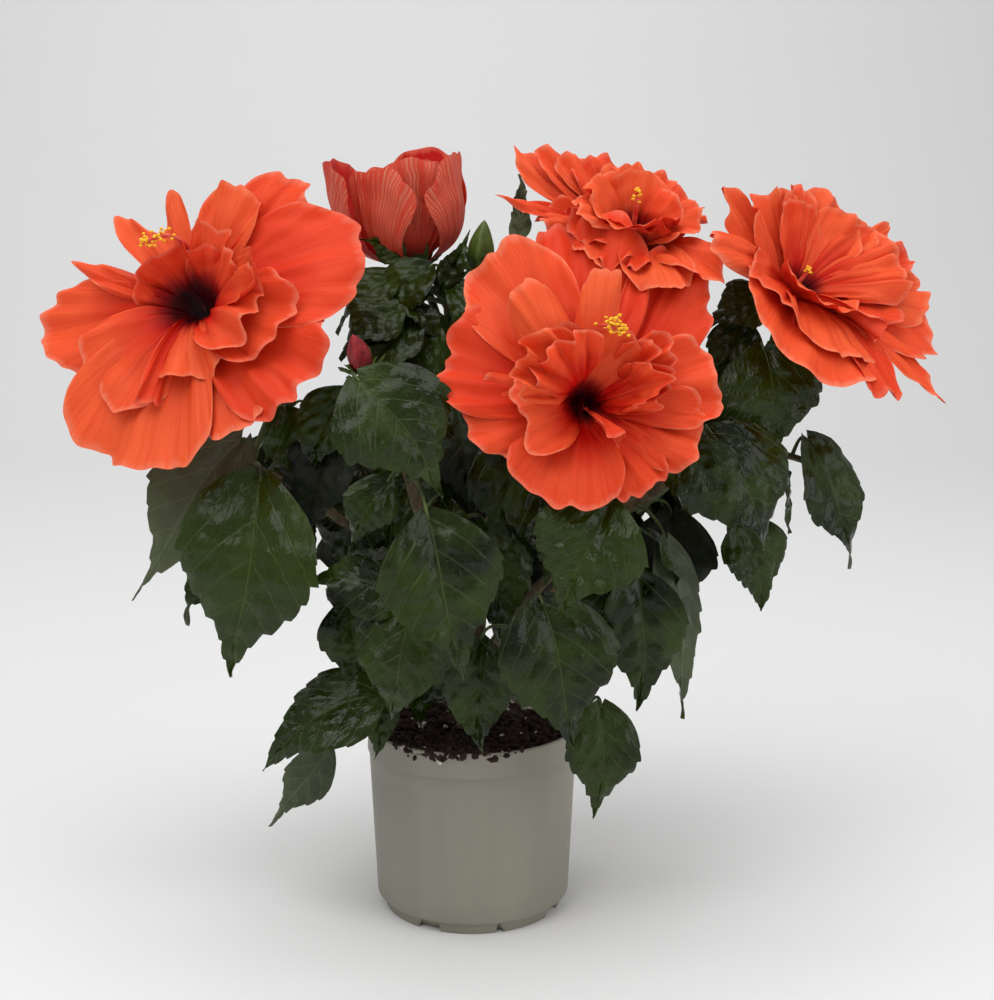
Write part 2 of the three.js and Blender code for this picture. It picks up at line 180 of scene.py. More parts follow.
class Wires:
    """The node tree of one material."""

    def __init__(self, name: str) -> None:
        """Makes an empty material."""
        self.material = bpy.data.materials.new(name)
        self.material.use_nodes = True
        self.tree = self.material.node_tree
        self.tree.nodes.clear()

    def node(self, kind: str, settings: dict | None = None, values: dict | None = None) -> Outputs:
        """Adds a node.

        Args:
            kind: the node's type.
            settings: its properties, set first; "stops" is a ramp's list of places and colours.
            values: numbers, colours or values for its inputs, by name, identifier or place.

        Returns:
            The node's outputs.
        """
        node = self.tree.nodes.new(kind)
        for name, setting in (settings or {}).items():
            if name == "stops":
                self._set_stops(node.color_ramp, setting)
            else:
                setattr(node, name, setting)
        for name, value in (values or {}).items():
            socket = self._input(node, name)
            if isinstance(value, Value):
                self.tree.links.new(value.socket, socket)
            else:
                socket.default_value = value
        return Outputs(self, node)

    @staticmethod
    def _set_stops(ramp: bpy.types.ColorRamp, stops: list[tuple[float, Colour]]) -> None:
        """Gives a ramp its stops.

        Args:
            ramp: the ramp.
            stops: places and colours, in order.
        """
        for spare in list(ramp.elements)[1:]:
            ramp.elements.remove(spare)
        ramp.elements[0].position, ramp.elements[0].color = stops[0]
        for place, colour in stops[1:]:
            ramp.elements.new(place).color = colour

    @staticmethod
    def _input(node: bpy.types.Node, name: str | int) -> bpy.types.NodeSocket:
        """The input of that place, identifier or name.

        Args:
            node: the node.
            name: its place, identifier or name.

        Returns:
            The input.
        """
        if isinstance(name, int):
            return node.inputs[name]
        return next(socket for socket in node.inputs if name in (socket.identifier, socket.name))

    def ramp(self, value: Value, stops: list[tuple[float, Colour]]) -> Value:
        """Turns a value into a colour between stops."""
        return self.node("ShaderNodeValToRGB", {"stops": stops}, {"Fac": value})["Color"]

    def mix(self, share: Value | float, first: Value | Colour, second: Value | Colour) -> Value:
        """Mixes two colours.

        Args:
            share: how much of the second shows.
            first: the first colour.
            second: the second colour.

        Returns:
            The mixed colour.
        """
        values = {"Factor_Float": share, "A_Color": first, "B_Color": second}
        return self.node("ShaderNodeMix", {"data_type": "RGBA"}, values)["Result_Color"]

    def noise(self, place: Value, scale: float, detail: float = 3, rough: float = 0.5) -> Value:
        """Cloudy noise at a place, about 0.5."""
        values = {"Vector": place, "Scale": scale, "Detail": detail, "Roughness": rough}
        return self.node("ShaderNodeTexNoise", None, values)["Fac"]

    def place(self) -> Value:
        """The place on the object."""
        return self.node("ShaderNodeTexCoord")["Object"]

    def attribute(self, name: str) -> Value:
        """A number that the mesh carries."""
        return self.node("ShaderNodeAttribute", {"attribute_name": name})["Fac"]

    def sheet_place(self) -> tuple[Value, Value]:
        """The place on a blade or petal: across from 0 to 1 and along from 0 to 1."""
        place = self.node("ShaderNodeUVMap", {"uv_map": Skin.SHEET_MAP})["UV"]
        parts = self.node("ShaderNodeSeparateXYZ", None, {"Vector": place})
        return parts["X"], parts["Y"]

    def streaks(self, across: Value, along: Value, turn: Value, detail: float = 2,
                rough: float = 0.5) -> Value:
        """Cloudy noise whose place is three values, for a pattern drawn out along a sheet."""
        values = {"X": across, "Y": along, "Z": turn}
        place = self.node("ShaderNodeCombineXYZ", None, values)["Vector"]
        return self.noise(place, 1.0, detail, rough)

    def bump(self, height: Value, depth: float, strength: float) -> Value:
        """A normal roughened by a height of 0 to 1 that stands for a depth in mm."""
        values = {"Height": height, "Distance": depth * MM, "Strength": strength}
        return self.node("ShaderNodeBump", None, values)["Normal"]

    def finish(self, glow: tuple[float, Colour] | None = None,
               **values: object) -> bpy.types.Material:
        """Ends the material in a Principled shader.

        Args:
            glow: the share and the colour of light that comes through a thin sheet, if any does.
            values: the shader's sockets, with _ for a space.

        Returns:
            The material.
        """
        named = {name.replace("_", " "): value for name, value in values.items()}
        surface = self.node("ShaderNodeBsdfPrincipled", None, named)["BSDF"]
        if glow:
            through = self.node("ShaderNodeBsdfTranslucent", None, {"Color": glow[1]})["BSDF"]
            if "Normal" in named:
                self.tree.links.new(named["Normal"].socket, through.socket.node.inputs["Normal"])
            values = {"Fac": glow[0], 1: surface, 2: through}
            surface = self.node("ShaderNodeMixShader", None, values)["Shader"]
        self.node("ShaderNodeOutputMaterial", None, {"Surface": surface})
        return self.material


# -------- finishes


@dataclass(frozen=True)
class PetalFinish:
    """Satin coral petals, darker rays: throat and claws own deep red plus painted shade, margin a
    painted highlight.
    """

    through: ClassVar[Colour] = paint(255, 70, 28)  # the light that comes through

    # throat: near black, painted shade deep in the hollow; deep: the petals' own maroon eye,
    # deepened by painted shade
    throat: Colour = paint(14, 0, 4)
    deep: Colour = paint(120, 2, 6)
    # middle: the claw's deep red, partly the petal's own and partly painted shade where petals
    # overlap
    middle: Colour = paint(200, 13, 4)
    limb: Colour = paint(246, 92, 50)
    # a painted highlight: the thin paler line where light catches the margin
    margin: Colour = paint(253, 146, 112)
    vein: Colour = paint(206, 28, 12)
    vein_share: float = 0.2
    light: Colour = paint(252, 118, 66)
    warm: Colour = paint(222, 32, 12)
    glow: float = 0.25

    def material(self, name: str) -> bpy.types.Material:
        """Makes the material.

        Args:
            name: its name.

        Returns:
            The material.
        """
        wires = Wires(name)
        across, along = wires.sheet_place()
        turn = wires.attribute(Skin.TINT)
        hollow = wires.attribute(Skin.HOLLOW)
        sway = wires.streaks(across * 4, along * 5, turn * 6) - 0.5
        drift = across * 24 + sway * 1.2
        rays = wires.streaks(drift, along * 1.2, turn * 9, 3, 0.6)
        fine = wires.streaks(across * 100 + sway * 3, along * 8, turn * 7, 3, 0.6)
        cloud = wires.streaks(across * 3, along * 3, turn * 5)
        ribs = wires.streaks(across * 60 + sway * 2, along * 0.9, turn * 3)
        # darker towards the claw: partly the petal's own deeper red, partly painted shade where the
        # petals overlap
        stops = [(0.0, self.middle), (0.36, self.middle), (0.8, self.limb), (0.95, self.limb),
                 (1.0, self.margin)]
        colour = wires.ramp(along + (rays - 0.5) * 0.12, stops)
        colour = wires.mix(cloud.step(0.4, 0.8) * 0.25, colour, self.light)
        colour = wires.mix(turn.step(0.1, 1.0) * 0.45, colour, self.warm)
        colour = wires.mix((0 - turn).step(0.0, 1.0) * 0.5, colour, self.light)
        colour = wires.mix(rays.step(0.5, 0.66) * self.vein_share, colour, self.vein)
        colour = wires.mix(ribs.step(0.5, 0.68) * self.vein_share, colour, self.vein)
        # the throat: the petals' own maroon eye, darkened to near black by painted shade in its
        # hollow
        depth = hollow + (rays - 0.5) * 0.24
        colour = wires.mix(depth.step(0.12, 0.5), colour, self.deep)
        colour = wires.mix(depth.step(0.42, 0.66), colour, self.throat)
        height = rays * 0.4 + ribs * 0.35 + fine * 0.25
        return wires.finish(
            glow=(self.glow, self.through),
            Base_Color=colour,
            Roughness=(0.52 + (fine - 0.5) * 0.3),
            Specular_IOR_Level=0.16,
            Normal=wires.bump(height, 0.55, 0.6),
        )


@dataclass(frozen=True)
class PetalBackFinish:
    """The back of a petal: paler, with cream veins that run up from the claw."""

    through: ClassVar[Colour] = paint(250, 70, 44)

    ground: Colour = paint(236, 78, 44)
    vein: Colour = paint(246, 150, 112)
    base: Colour = paint(190, 36, 24)
    veins: float = 0.22
    rays: float = 34
    glow: float = 0.2

    def material(self, name: str) -> bpy.types.Material:
        """Makes the material.

        Args:
            name: its name.

        Returns:
            The material.
        """
        wires = Wires(name)
        across, along = wires.sheet_place()
        turn = wires.attribute(Skin.TINT)
        sway = wires.streaks(across * 3, along * 5, turn * 8)
        streak = wires.streaks(across * self.rays, along * 1.3, turn * 9, 3, 0.6)
        lines = (across + (sway - 0.5) * 0.07) * self.rays
        forks = (1 - (lines * 2 + sway).away().step(0.02, 0.2)) * along.step(0.3, 0.7)
        vein = (1 - lines.away().step(0.01, 0.12)).math("MAXIMUM", forks * 0.7)
        broken = vein * streak.step(0.36, 0.6) * along.step(0.12, 0.5)
        ground = wires.ramp(along, [(0.0, self.base), (0.35, self.ground), (1.0, self.ground)])
        colour = wires.mix(broken * self.veins, ground, self.vein)
        colour = wires.mix(streak.step(0.5, 0.7) * 0.25, colour, self.base)
        return wires.finish(
            glow=(self.glow, self.through),
            Base_Color=colour,
            Roughness=(0.52 + streak * 0.15),
            Specular_IOR_Level=0.35,
            Normal=wires.bump(vein * 0.6 + streak * 0.4, 0.45, 0.6),
        )


@dataclass(frozen=True)
class LeafFinish:
    """A leaf's upper side or its underside: a network of veins on an uneven, crinkled blade.

    A tint above 0 makes a leaf younger and its crinkles deeper. One below -0.8 gets painted
    shade, which makes it darker and duller.
    """

    # the near black that painted shade darkens a leaf towards
    painted_shade: ClassVar[Colour] = paint(3, 5, 1)

    ground: Colour
    young: Colour
    vein: Colour
    gloss: tuple[float, float]  # the roughness of the glossiest and of the dullest patches
    sunk: bool  # the veins are pressed in, as on the upper side
    shown: float  # how far the veins take their own colour

    def material(self, name: str) -> bpy.types.Material:
        """Makes the material.

        Args:
            name: its name.

        Returns:
            The material.
        """
        wires = Wires(name)
        across, along = wires.sheet_place()
        turn = wires.attribute(Skin.TINT)
        far = abs(across - 0.5)
        place = wires.place()
        warp = wires.noise(place, 50, 2) - 0.5
        side = (along - far * Leaf.CLIMB[0] - far * far * Leaf.CLIMB[1]) * Leaf.PAIRS + warp * 0.2
        main = 1 - far.step(0.002, 0.008)
        second = 1 - side.away().step(0.01, 0.06)
        third = wires.node("ShaderNodeTexVoronoi", {"feature": "DISTANCE_TO_EDGE"},
                           {"Vector": place, "Scale": 240.0})["Distance"]
        mesh = 1 - third.step(0.0, 0.14)
        veins = main.math("MAXIMUM", second * 0.6).math("MAXIMUM", mesh * 0.15)
        cloud = wires.noise(place, 30, 4, 0.6)
        colour = wires.mix(cloud.step(0.3, 0.72), self.ground, self.young)
        colour = wires.mix(turn.step(0.0, 1.0) * 0.6, colour, self.young)
        colour = wires.mix(veins * self.shown, colour, self.vein)
        # painted shade: a tint below -0.8 darkens the leaf towards near black and dulls its gloss
        shade = (0 - turn).step(0.8, 1.8)
        colour = wires.mix(shade * 0.8, colour, self.painted_shade)
        rungs = wires.streaks(side * 2.6, far * 24, turn * 4 + warp * 2)
        crinkle = rungs * 1.2 + wires.noise(place, 150, 2, 0.5) * 0.7
        height = crinkle * (0.5 + turn.step(-0.6, 0.8) * 0.9)
        height = height + (0.5 - veins * 0.5 if self.sunk else veins * 0.6)
        low, high = self.gloss
        rough = low + cloud.step(0.35, 0.7) * (high - low) + shade * 0.35
        return wires.finish(
            Base_Color=colour,
            Roughness=rough,
            Specular_IOR_Level=0.24 if self.sunk else 0.15,
            Normal=wires.bump(height, 0.8, 0.6),
        )


@dataclass(frozen=True)
class GrainFinish:
    """A rough natural stuff, mottled from a dark to a light colour: bark, stalks, soil and buds."""

    dark: Colour
    light: Colour
    scale: float
    depth: float  # mm of relief
    rough: float
    stretch: float = 1.0  # how much longer the grain is up than across

    def material(self, name: str) -> bpy.types.Material:
        """Makes the material.

        Args:
            name: its name.

        Returns:
            The material.
        """
        wires = Wires(name)
        place = wires.node("ShaderNodeMapping", None, {
            "Vector": wires.place(), "Scale": (1.0, 1.0, 1.0 / self.stretch)})["Vector"]
        broad = wires.noise(place, self.scale, 4, 0.6)
        fine = wires.noise(place, self.scale * 4.3, 3, 0.6)
        mixed = broad * 0.65 + fine * 0.35
        colour = wires.mix(mixed.step(0.32, 0.68), self.dark, self.light)
        return wires.finish(
            Base_Color=colour,
            Roughness=(self.rough + (fine - 0.5) * 0.2),
            Specular_IOR_Level=0.35,
            Normal=wires.bump(mixed, self.depth, 0.9),
        )


@dataclass(frozen=True)
class PotFinish:
    """Moulded matt plastic, with faint upright flow marks and a little dust at the foot."""

    colour: Colour = paint(132, 129, 116)
    dust: Colour = paint(150, 144, 130)

    def material(self, name: str) -> bpy.types.Material:
        """Makes the material.

        Args:
            name: its name.

        Returns:
            The material.
        """
        wires = Wires(name)
        place = wires.place()
        drawn = {"Vector": place, "Scale": (1.0, 1.0, 0.06)}
        flow = wires.node("ShaderNodeMapping", None, drawn)["Vector"]
        marks = wires.noise(flow, 46, 3, 0.55)
        cloud = wires.noise(place, 16, 3)
        grain = wires.noise(place, 900, 2)
        height = wires.node("ShaderNodeSeparateXYZ", None, {"Vector": place})["Z"]
        colour = wires.mix(marks.step(0.3, 0.7) * 0.3, self.colour, self.dust)
        foot = (1 - height.step(0.0, 0.02)) * cloud.step(0.4, 0.65) * 0.5
        colour = wires.mix(foot, colour, self.dust)
        return wires.finish(
            Base_Color=colour,
            Roughness=(0.42 + cloud * 0.16),
            Specular_IOR_Level=0.45,
            Normal=wires.bump(grain * 0.5 + marks * 0.5, 0.12, 0.5),
        )


@dataclass(frozen=True)
class PlainFinish:
    """A smooth stuff of nearly one colour: anthers, their column and perlite."""

    colour: Colour
    other: Colour
    scale: float
    rough: float

    def material(self, name: str) -> bpy.types.Material:
        """Makes the material.

        Args:
            name: its name.

        Returns:
            The material.
        """
        wires = Wires(name)
        cloud = wires.noise(wires.place(), self.scale, 3)
        colour = wires.mix(cloud.step(0.35, 0.65), self.colour, self.other)
        return wires.finish(Base_Color=colour, Roughness=self.rough, Specular_IOR_Level=0.3)


UPPER_LEAF = LeafFinish(paint(9, 18, 1), paint(41, 57, 5), paint(82, 96, 44),
                        gloss=(0.17, 0.36), sunk=True, shown=0.36)
UNDER_LEAF = LeafFinish(paint(64, 72, 54), paint(82, 90, 66), paint(108, 116, 88),
                        gloss=(0.42, 0.6), sunk=False, shown=0.6)
BARK = GrainFinish(paint(64, 52, 36), paint(112, 98, 72), 160, 0.8, 0.85, 3.0)
GREEN_STALK = GrainFinish(paint(48, 62, 28), paint(84, 98, 48), 120, 0.25, 0.55, 4.0)
SOIL = GrainFinish(paint(18, 12, 9), paint(58, 36, 26), 240, 1.2, 0.95)
PERLITE = PlainFinish(paint(214, 208, 196), paint(176, 168, 152), 500, 0.9)
ANTHER = PlainFinish(paint(240, 170, 20), paint(250, 205, 60), 900, 0.7)
CALYX = GrainFinish(paint(52, 70, 26), paint(86, 104, 40), 140, 0.3, 0.5, 4.0)
COLUMN = PlainFinish(paint(206, 52, 44), paint(232, 110, 90), 200, 0.5)
RED_BUD = GrainFinish(paint(96, 16, 24), paint(164, 44, 48), 260, 0.3, 0.55, 4.0)


# -------- meshes


def unit(vectors: Array) -> Array:
    """Vectors drawn to length 1 along the last axis."""
    length = np.linalg.norm(vectors, axis=-1, keepdims=True)
    return vectors / np.maximum(length, 1e-12)


def smooth(share: Array | float) -> Array:
    """The smooth step: 3 t squared less 2 t cubed, with t kept between 0 and 1."""
    kept = np.clip(share, 0, 1)
    return kept * kept * (3 - 2 * kept)


def grid_faces(rows: int, columns: int, closed: bool = False) -> Array:
    """The quads of a grid of points, numbered along its rows.

    Args:
        rows: how many rows of points there are.
        columns: how many points a row has.
        closed: whether the last column is joined to the first.

    Returns:
        Four numbers a face, turned so that across then along is anticlockwise.
    """
    column = np.arange(columns if closed else columns - 1)
    i, j = np.meshgrid(np.arange(rows - 1), column, indexing="ij")
    after = (j + 1) % columns
    row, above = i * columns, (i + 1) * columns
    return np.stack([row + j, row + after, above + after, above + j], -1).reshape(-1, 4)


def grid_normals(points: Array) -> Array:
    """The unit normals of a grid: the cross product of its differences across and along."""
    return unit(np.cross(np.gradient(points, axis=1), np.gradient(points, axis=0)))


def even_map(rows: int, columns: int) -> Array:
    """How far across and along each point of a grid lies, from 0 to 1, in the grid's order."""
    places = np.meshgrid(np.linspace(0, 1, columns), np.linspace(0, 1, rows))
    return np.stack(places, -1).reshape(-1, 2)


class Skin:
    """The surfaces of one piece as they are gathered, in mm, with the values that they carry."""

    SHEET_MAP = "Sheet"  # across and along a blade or a petal
    BAKE_MAP = "OFBake"  # every sheet's own cell of one square
    TINT = "tint"
    HOLLOW = "hollow"  # how deep in a bloom's throat, from 0 to 1: the mask of its own maroon and painted shade
    CREASE = 75  # degrees between faces, past which their edge is sharp
    INSET = 0.03  # of a cell of the bake map, left clear at its border

    def __init__(self, name: str) -> None:
        """Starts an empty piece."""
        self.name = name
        self.points: list[Array] = []
        self.tints: list[Array] = []
        self.hollows: list[Array] = []
        self.polygons: dict[int, list[Array]] = {3: [], 4: []}
        self.places: dict[int, list[Array]] = {3: [], 4: []}
        self.cells: dict[int, list[Array]] = {3: [], 4: []}
        self.slots: dict[int, list[Array]] = {3: [], 4: []}
        self.vertex_count = 0
        self.cell_count = 0

    def add(self, points: Array, faces: Array, place: Array | None = None, tint: float = 0.0,
            slot: int | Array = 0, cell: Array | None = None, hollow: Array | float = 0.0) -> None:
        """Adds a surface: points in the same place become one, and faces that this empties go.

        Args:
            points: one row a point.
            faces: four point numbers a face; a triangle repeats its last.
            place: two numbers a point for the sheet map.
            tint: the number that the whole surface carries, -1 to 1, or less for a leaf with
                painted shade.
            slot: the material slot of all faces or of each.
            cell: for each point, its place in the bake map in cells.
            hollow: how deep in a throat each point lies.
        """
        rounded = np.round(points, 4)
        first, inverse = np.unique(rounded, axis=0, return_index=True, return_inverse=True)[1:]
        inverse = inverse.reshape(-1)
        place = np.zeros((len(points), 2)) if place is None else place
        cell = place if cell is None else cell
        slots = np.broadcast_to(slot, len(faces))
        joined = inverse[faces]
        same = joined == np.roll(joined, -1, axis=1)
        sound = (joined[:, 0] != joined[:, 2]) & (joined[:, 1] != joined[:, 3])
        for corners, keep in ((4, sound & (same.sum(1) == 0)), (3, sound & (same.sum(1) == 1))):
            kept = ~same[keep]
            numbers = joined[keep][kept].reshape(-1, corners)
            self.polygons[corners].append(numbers + self.vertex_count)
            self.places[corners].append(place[faces[keep][kept]].reshape(-1, corners, 2))
            self.cells[corners].append(cell[faces[keep][kept]].reshape(-1, corners, 2))
            self.slots[corners].append(slots[keep])
        self.points.append(points[first])
        self.tints.append(np.full(len(first), tint))
        self.hollows.append(np.broadcast_to(hollow, len(points))[first])
        self.vertex_count += len(first)

    def add_sheet(self, points: Array, thickness: float, tint: float = 0.0,
                  place: Array | None = None, hollow: Array | None = None) -> None:
        """Adds a thin closed sheet: a grid moved half its thickness each way, shut at its border.

        Args:
            points: a grid of points, rows along and columns across.
            thickness: in the middle; it runs out to nothing at the border.
            tint: a number that the sheet carries.
            place: the sheet map's two numbers for each point, else across and along from 0 to 1.
            hollow: how deep in a throat each point lies, else 0.
        """
        rows, columns = points.shape[:2]
        inside = np.zeros((rows, columns, 1))
        inside[1:-1, 1:-1] = 1
        lift = grid_normals(points) * thickness / 2 * inside
        even = even_map(rows, columns)
        place = even if place is None else place.reshape(-1, 2)
        cell = self.INSET + (1 - 2 * self.INSET) * even
        faces = grid_faces(rows, columns)
        both = np.concatenate([(points + lift).reshape(-1, 3), (points - lift).reshape(-1, 3)])
        self.add(
            both,
            np.concatenate([faces, faces[:, [0, 3, 2, 1]] + rows * columns]),
            place=np.concatenate([place, place]),
            tint=tint,
            slot=np.repeat([0, 1], len(faces)),
            cell=np.concatenate([cell + [self.cell_count, 0], cell + [self.cell_count + 1, 0]]),
            hollow=0.0 if hollow is None else np.tile(hollow.ravel(), 2),
        )
        self.cell_count += 2

    def add_tube(self, rings: Array) -> None:
        """Adds a closed tube over rings of points, with a point in the middle of each end.

        Args:
            rings: a ring of points a row.
        """
        count, sides = rings.shape[:2]
        start, end = (ring.mean(1, keepdims=True).repeat(sides, 1)
                      for ring in (rings[:1], rings[-1:]))
        grid = np.concatenate([start, rings, end])
        faces = grid_faces(count + 2, sides, closed=True)
        self.add(grid.reshape(-1, 3), faces, even_map(count + 2, sides))

    def piece(self, materials: list[bpy.types.Material], replaced: list[str]) -> None:
        """Makes the piece: one mesh at the origin that rides on the plant's body.

        Args:
            materials: the materials of its slots.
            replaced: the CAD solids that it stands for.
        """
        mesh = bpy.data.meshes.new(self.name)
        points = np.concatenate(self.points) * MM
        polygons = {n: np.concatenate(found).reshape(-1, n) for n, found in self.polygons.items()}
        loops = np.concatenate([polygons[3].ravel(), polygons[4].ravel()]).astype(np.int32)
        sizes = np.concatenate([np.full(len(polygons[3]), 3), np.full(len(polygons[4]), 4)])
        mesh.vertices.add(len(points))
        mesh.vertices.foreach_set("co", points.astype(np.float32).ravel())
        mesh.loops.add(len(loops))
        mesh.loops.foreach_set("vertex_index", loops)
        mesh.polygons.add(len(sizes))
        starts = np.concatenate([[0], np.cumsum(sizes)[:-1]]).astype(np.int32)
        mesh.polygons.foreach_set("loop_start", starts)
        slots = np.concatenate([np.concatenate(self.slots[n]) for n in (3, 4)]).astype(np.int32)
        mesh.polygons.foreach_set("material_index", slots)
        mesh.update(calc_edges=True)
        mesh.polygons.foreach_set("use_smooth", np.full(len(sizes), True))
        mesh.set_sharp_from_angle(angle=math.radians(self.CREASE))
        self._add_map(mesh, self.SHEET_MAP, self.places, 1)
        if self.cell_count:
            self._add_map(mesh, self.BAKE_MAP, self.cells, math.ceil(math.sqrt(self.cell_count)))
        for name, values in ((self.TINT, self.tints), (self.HOLLOW, self.hollows)):
            carried = mesh.attributes.new(name, "FLOAT", "POINT")
            carried.data.foreach_set("value", np.concatenate(values).astype(np.float32))
        for material in materials:
            mesh.materials.append(material)
        made = bpy.data.objects.new(self.name, mesh)
        bpy.context.scene.collection.objects.link(made)
        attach(made, BODY)
        if replaced:
            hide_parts(*replaced)
        log.info("%s: %d triangles", self.name, int((sizes - 2).sum()))

    @staticmethod
    def _add_map(mesh: bpy.types.Mesh, name: str, places: dict[int, list[Array]],
                 side: int) -> None:
        """Adds a map of the faces' corners.

        Args:
            mesh: the mesh that gets it.
            name: its name.
            places: two numbers a corner, by the corners of a face.
            side: above 1, a long row of cells is wrapped into a square of that many a side.
        """
        flat = np.concatenate([np.concatenate(places[n]).reshape(-1, 2) for n in (3, 4)])
        if side > 1:
            cell = np.floor(flat[:, 0])
            flat = np.stack([flat[:, 0] - cell + cell % side, flat[:, 1] + cell // side], -1) / side
        layer = mesh.uv_layers.new(name=name, do_init=False)
        layer.data.foreach_set("uv", flat.astype(np.float32).ravel())


def tube_rings(path: Array, radii: Array, sides: int) -> Array:
    """Rings carried along a path: the middle plus the radius times cos and sin of the turn.

    Args:
        path: the points of the middle line.
        radii: the radius at each point, or one for each point and side.
        sides: how many points a ring has.

    Returns:
        The rings, a row each.
    """
    tangent = unit(np.gradient(path, axis=0))
    reference = np.eye(3)[np.abs(tangent).mean(0).argmin()]
    side = unit(np.cross(reference, tangent))
    up = np.cross(tangent, side)
    turn = np.linspace(0, 2 * np.pi, sides, endpoint=False)
    radii = np.reshape(radii, (len(path), -1, 1))
    spread = np.cos(turn)[None, :, None] * side[:, None] + np.sin(turn)[None, :, None] * up[:, None]
    return path[:, None] + radii * spread


def bezier(points: list[Array], count: int) -> Array:
    """A cubic curve from four points: their weights are the terms of (1 - t) + t, cubed.

    Args:
        points: the two ends and, between them, the two points that it leans to.
        count: how many points to work out.

    Returns:
        The points, a row each.
    """
    t = np.linspace(0, 1, count)[:, None]
    weights = [(1 - t) ** 3, 3 * t * (1 - t) ** 2, 3 * t * t * (1 - t), t ** 3]
    return sum(weight * np.asarray(point) for weight, point in zip(weights, points))


class Waves:
    """Smooth seeded noise in space: a sum of sines of random direction, length and phase."""

    COUNT = 12

    def __init__(self, seed: int, length: float) -> None:
        """Draws the waves.

        Args:
            seed: of the draw.
            length: about how long the waves are, in mm.
        """
        draw = np.random.default_rng(seed)
        ways = unit(draw.normal(size=(self.COUNT, 3)))
        self.pull = ways * draw.uniform(0.6, 1.7, (self.COUNT, 1)) * 2 * np.pi / length
        self.phase = draw.uniform(0, 2 * np.pi, self.COUNT)

    def __call__(self, points: Array) -> Array:
        """The noise at points, about -1 to 1."""
        return np.sin(points @ self.pull.T + self.phase).sum(-1) / math.sqrt(self.COUNT)


def box_of(node: str) -> tuple[Array, Array]:
    """The lowest and the highest corner of a solid's box, in mm."""
    low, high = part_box(node)
    return np.array(low) / MM, np.array(high) / MM


def middle_of(node: str) -> Array:
    """The middle of a solid's box, in mm."""
    low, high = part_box(node)
    return np.array((low + high) / 2) / MM


def axes_of(facing: Point, upward: int) -> Array:
    """The directions of a bloom or bud: its up is one of the frame's axes, squared to its facing.

    Args:
        facing: the way that it faces.
        upward: the number of the axis that its up is taken from.

    Returns:
        Its right, up and facing directions, a row each.
    """
    ahead = unit(np.asarray(facing, float))
    up = unit(np.eye(3)[upward] - ahead * ahead[upward])
    return np.array([np.cross(up, ahead), up, ahead])


# -------- wood


@dataclass
class Limb:
    """A bough or stalk read from its solid: the middles and radii of its rings, root to tip."""

    node: str
    path: Array
    radii: Array

    @classmethod
    def read(cls, node: str, root: Array) -> "Limb":
        """Reads a solid: its corners fall into rings along its length, and each ring has a mean.

        Args:
            node: the solid.
            root: a point near its lower end.

        Returns:
            The limb.
        """
        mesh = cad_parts[node].data
        points = np.empty(len(mesh.vertices) * 3, np.float32)
        mesh.vertices.foreach_get("co", points)
        points = np.unique(np.round(points.reshape(-1, 3) / MM, 2), axis=0).astype(float)
        far = points[np.linalg.norm(points - root, axis=1).argmax()]
        near = points[np.linalg.norm(points - far, axis=1).argmax()]
        share = (points - near) @ (far - near) / np.dot(far - near, far - near)
        order = np.argsort(share)
        breaks = np.flatnonzero(np.diff(share[order]) > 0.09) + 1
        groups = [points[group] for group in np.split(order, breaks)]
        path = np.array([group.mean(0) for group in groups])
        ways = unit(np.gradient(path, axis=0))
        radii = np.array([np.linalg.norm(np.cross(group - at, way), axis=1).max()
                          for group, at, way in zip(groups, path, ways)])
        return cls(node, path, np.clip(radii, radii.max() * 0.4, None))

    def point(self, share: float | Array) -> Array:
        """The point a share of the way along, on straight lines between the rings."""
        return np.stack([np.interp(share, self._shares(), line) for line in self.path.T], -1)

    def smooth_path(self, count: int) -> tuple[Array, Array]:
        """The path and radii rounded off: a cubic through the ends, fitted to the rings.

        Args:
            count: how many points to work out.

        Returns:
            The points and the radius at each.
        """
        share, rings = np.linspace(0, 1, count), self._shares()
        order = min(3, len(self.path) - 1)
        path = [np.polyval(np.polyfit(rings, line, order), share) for line in self.path.T]
        return np.stack(path, -1), np.interp(share, rings, self.radii)

    def _shares(self) -> Array:
        """How far along each ring lies, from 0 to 1."""
        steps = np.linalg.norm(np.diff(self.path, axis=0), axis=1)
        return np.concatenate([[0], np.cumsum(steps)]) / steps.sum()


@dataclass(frozen=True)
class BarkRelief:
    """How a kind of limb is skinned."""

    rings: int
    sides: int
    relief: float  # mm
    swelling: float  # mm at each node, where leaves grew


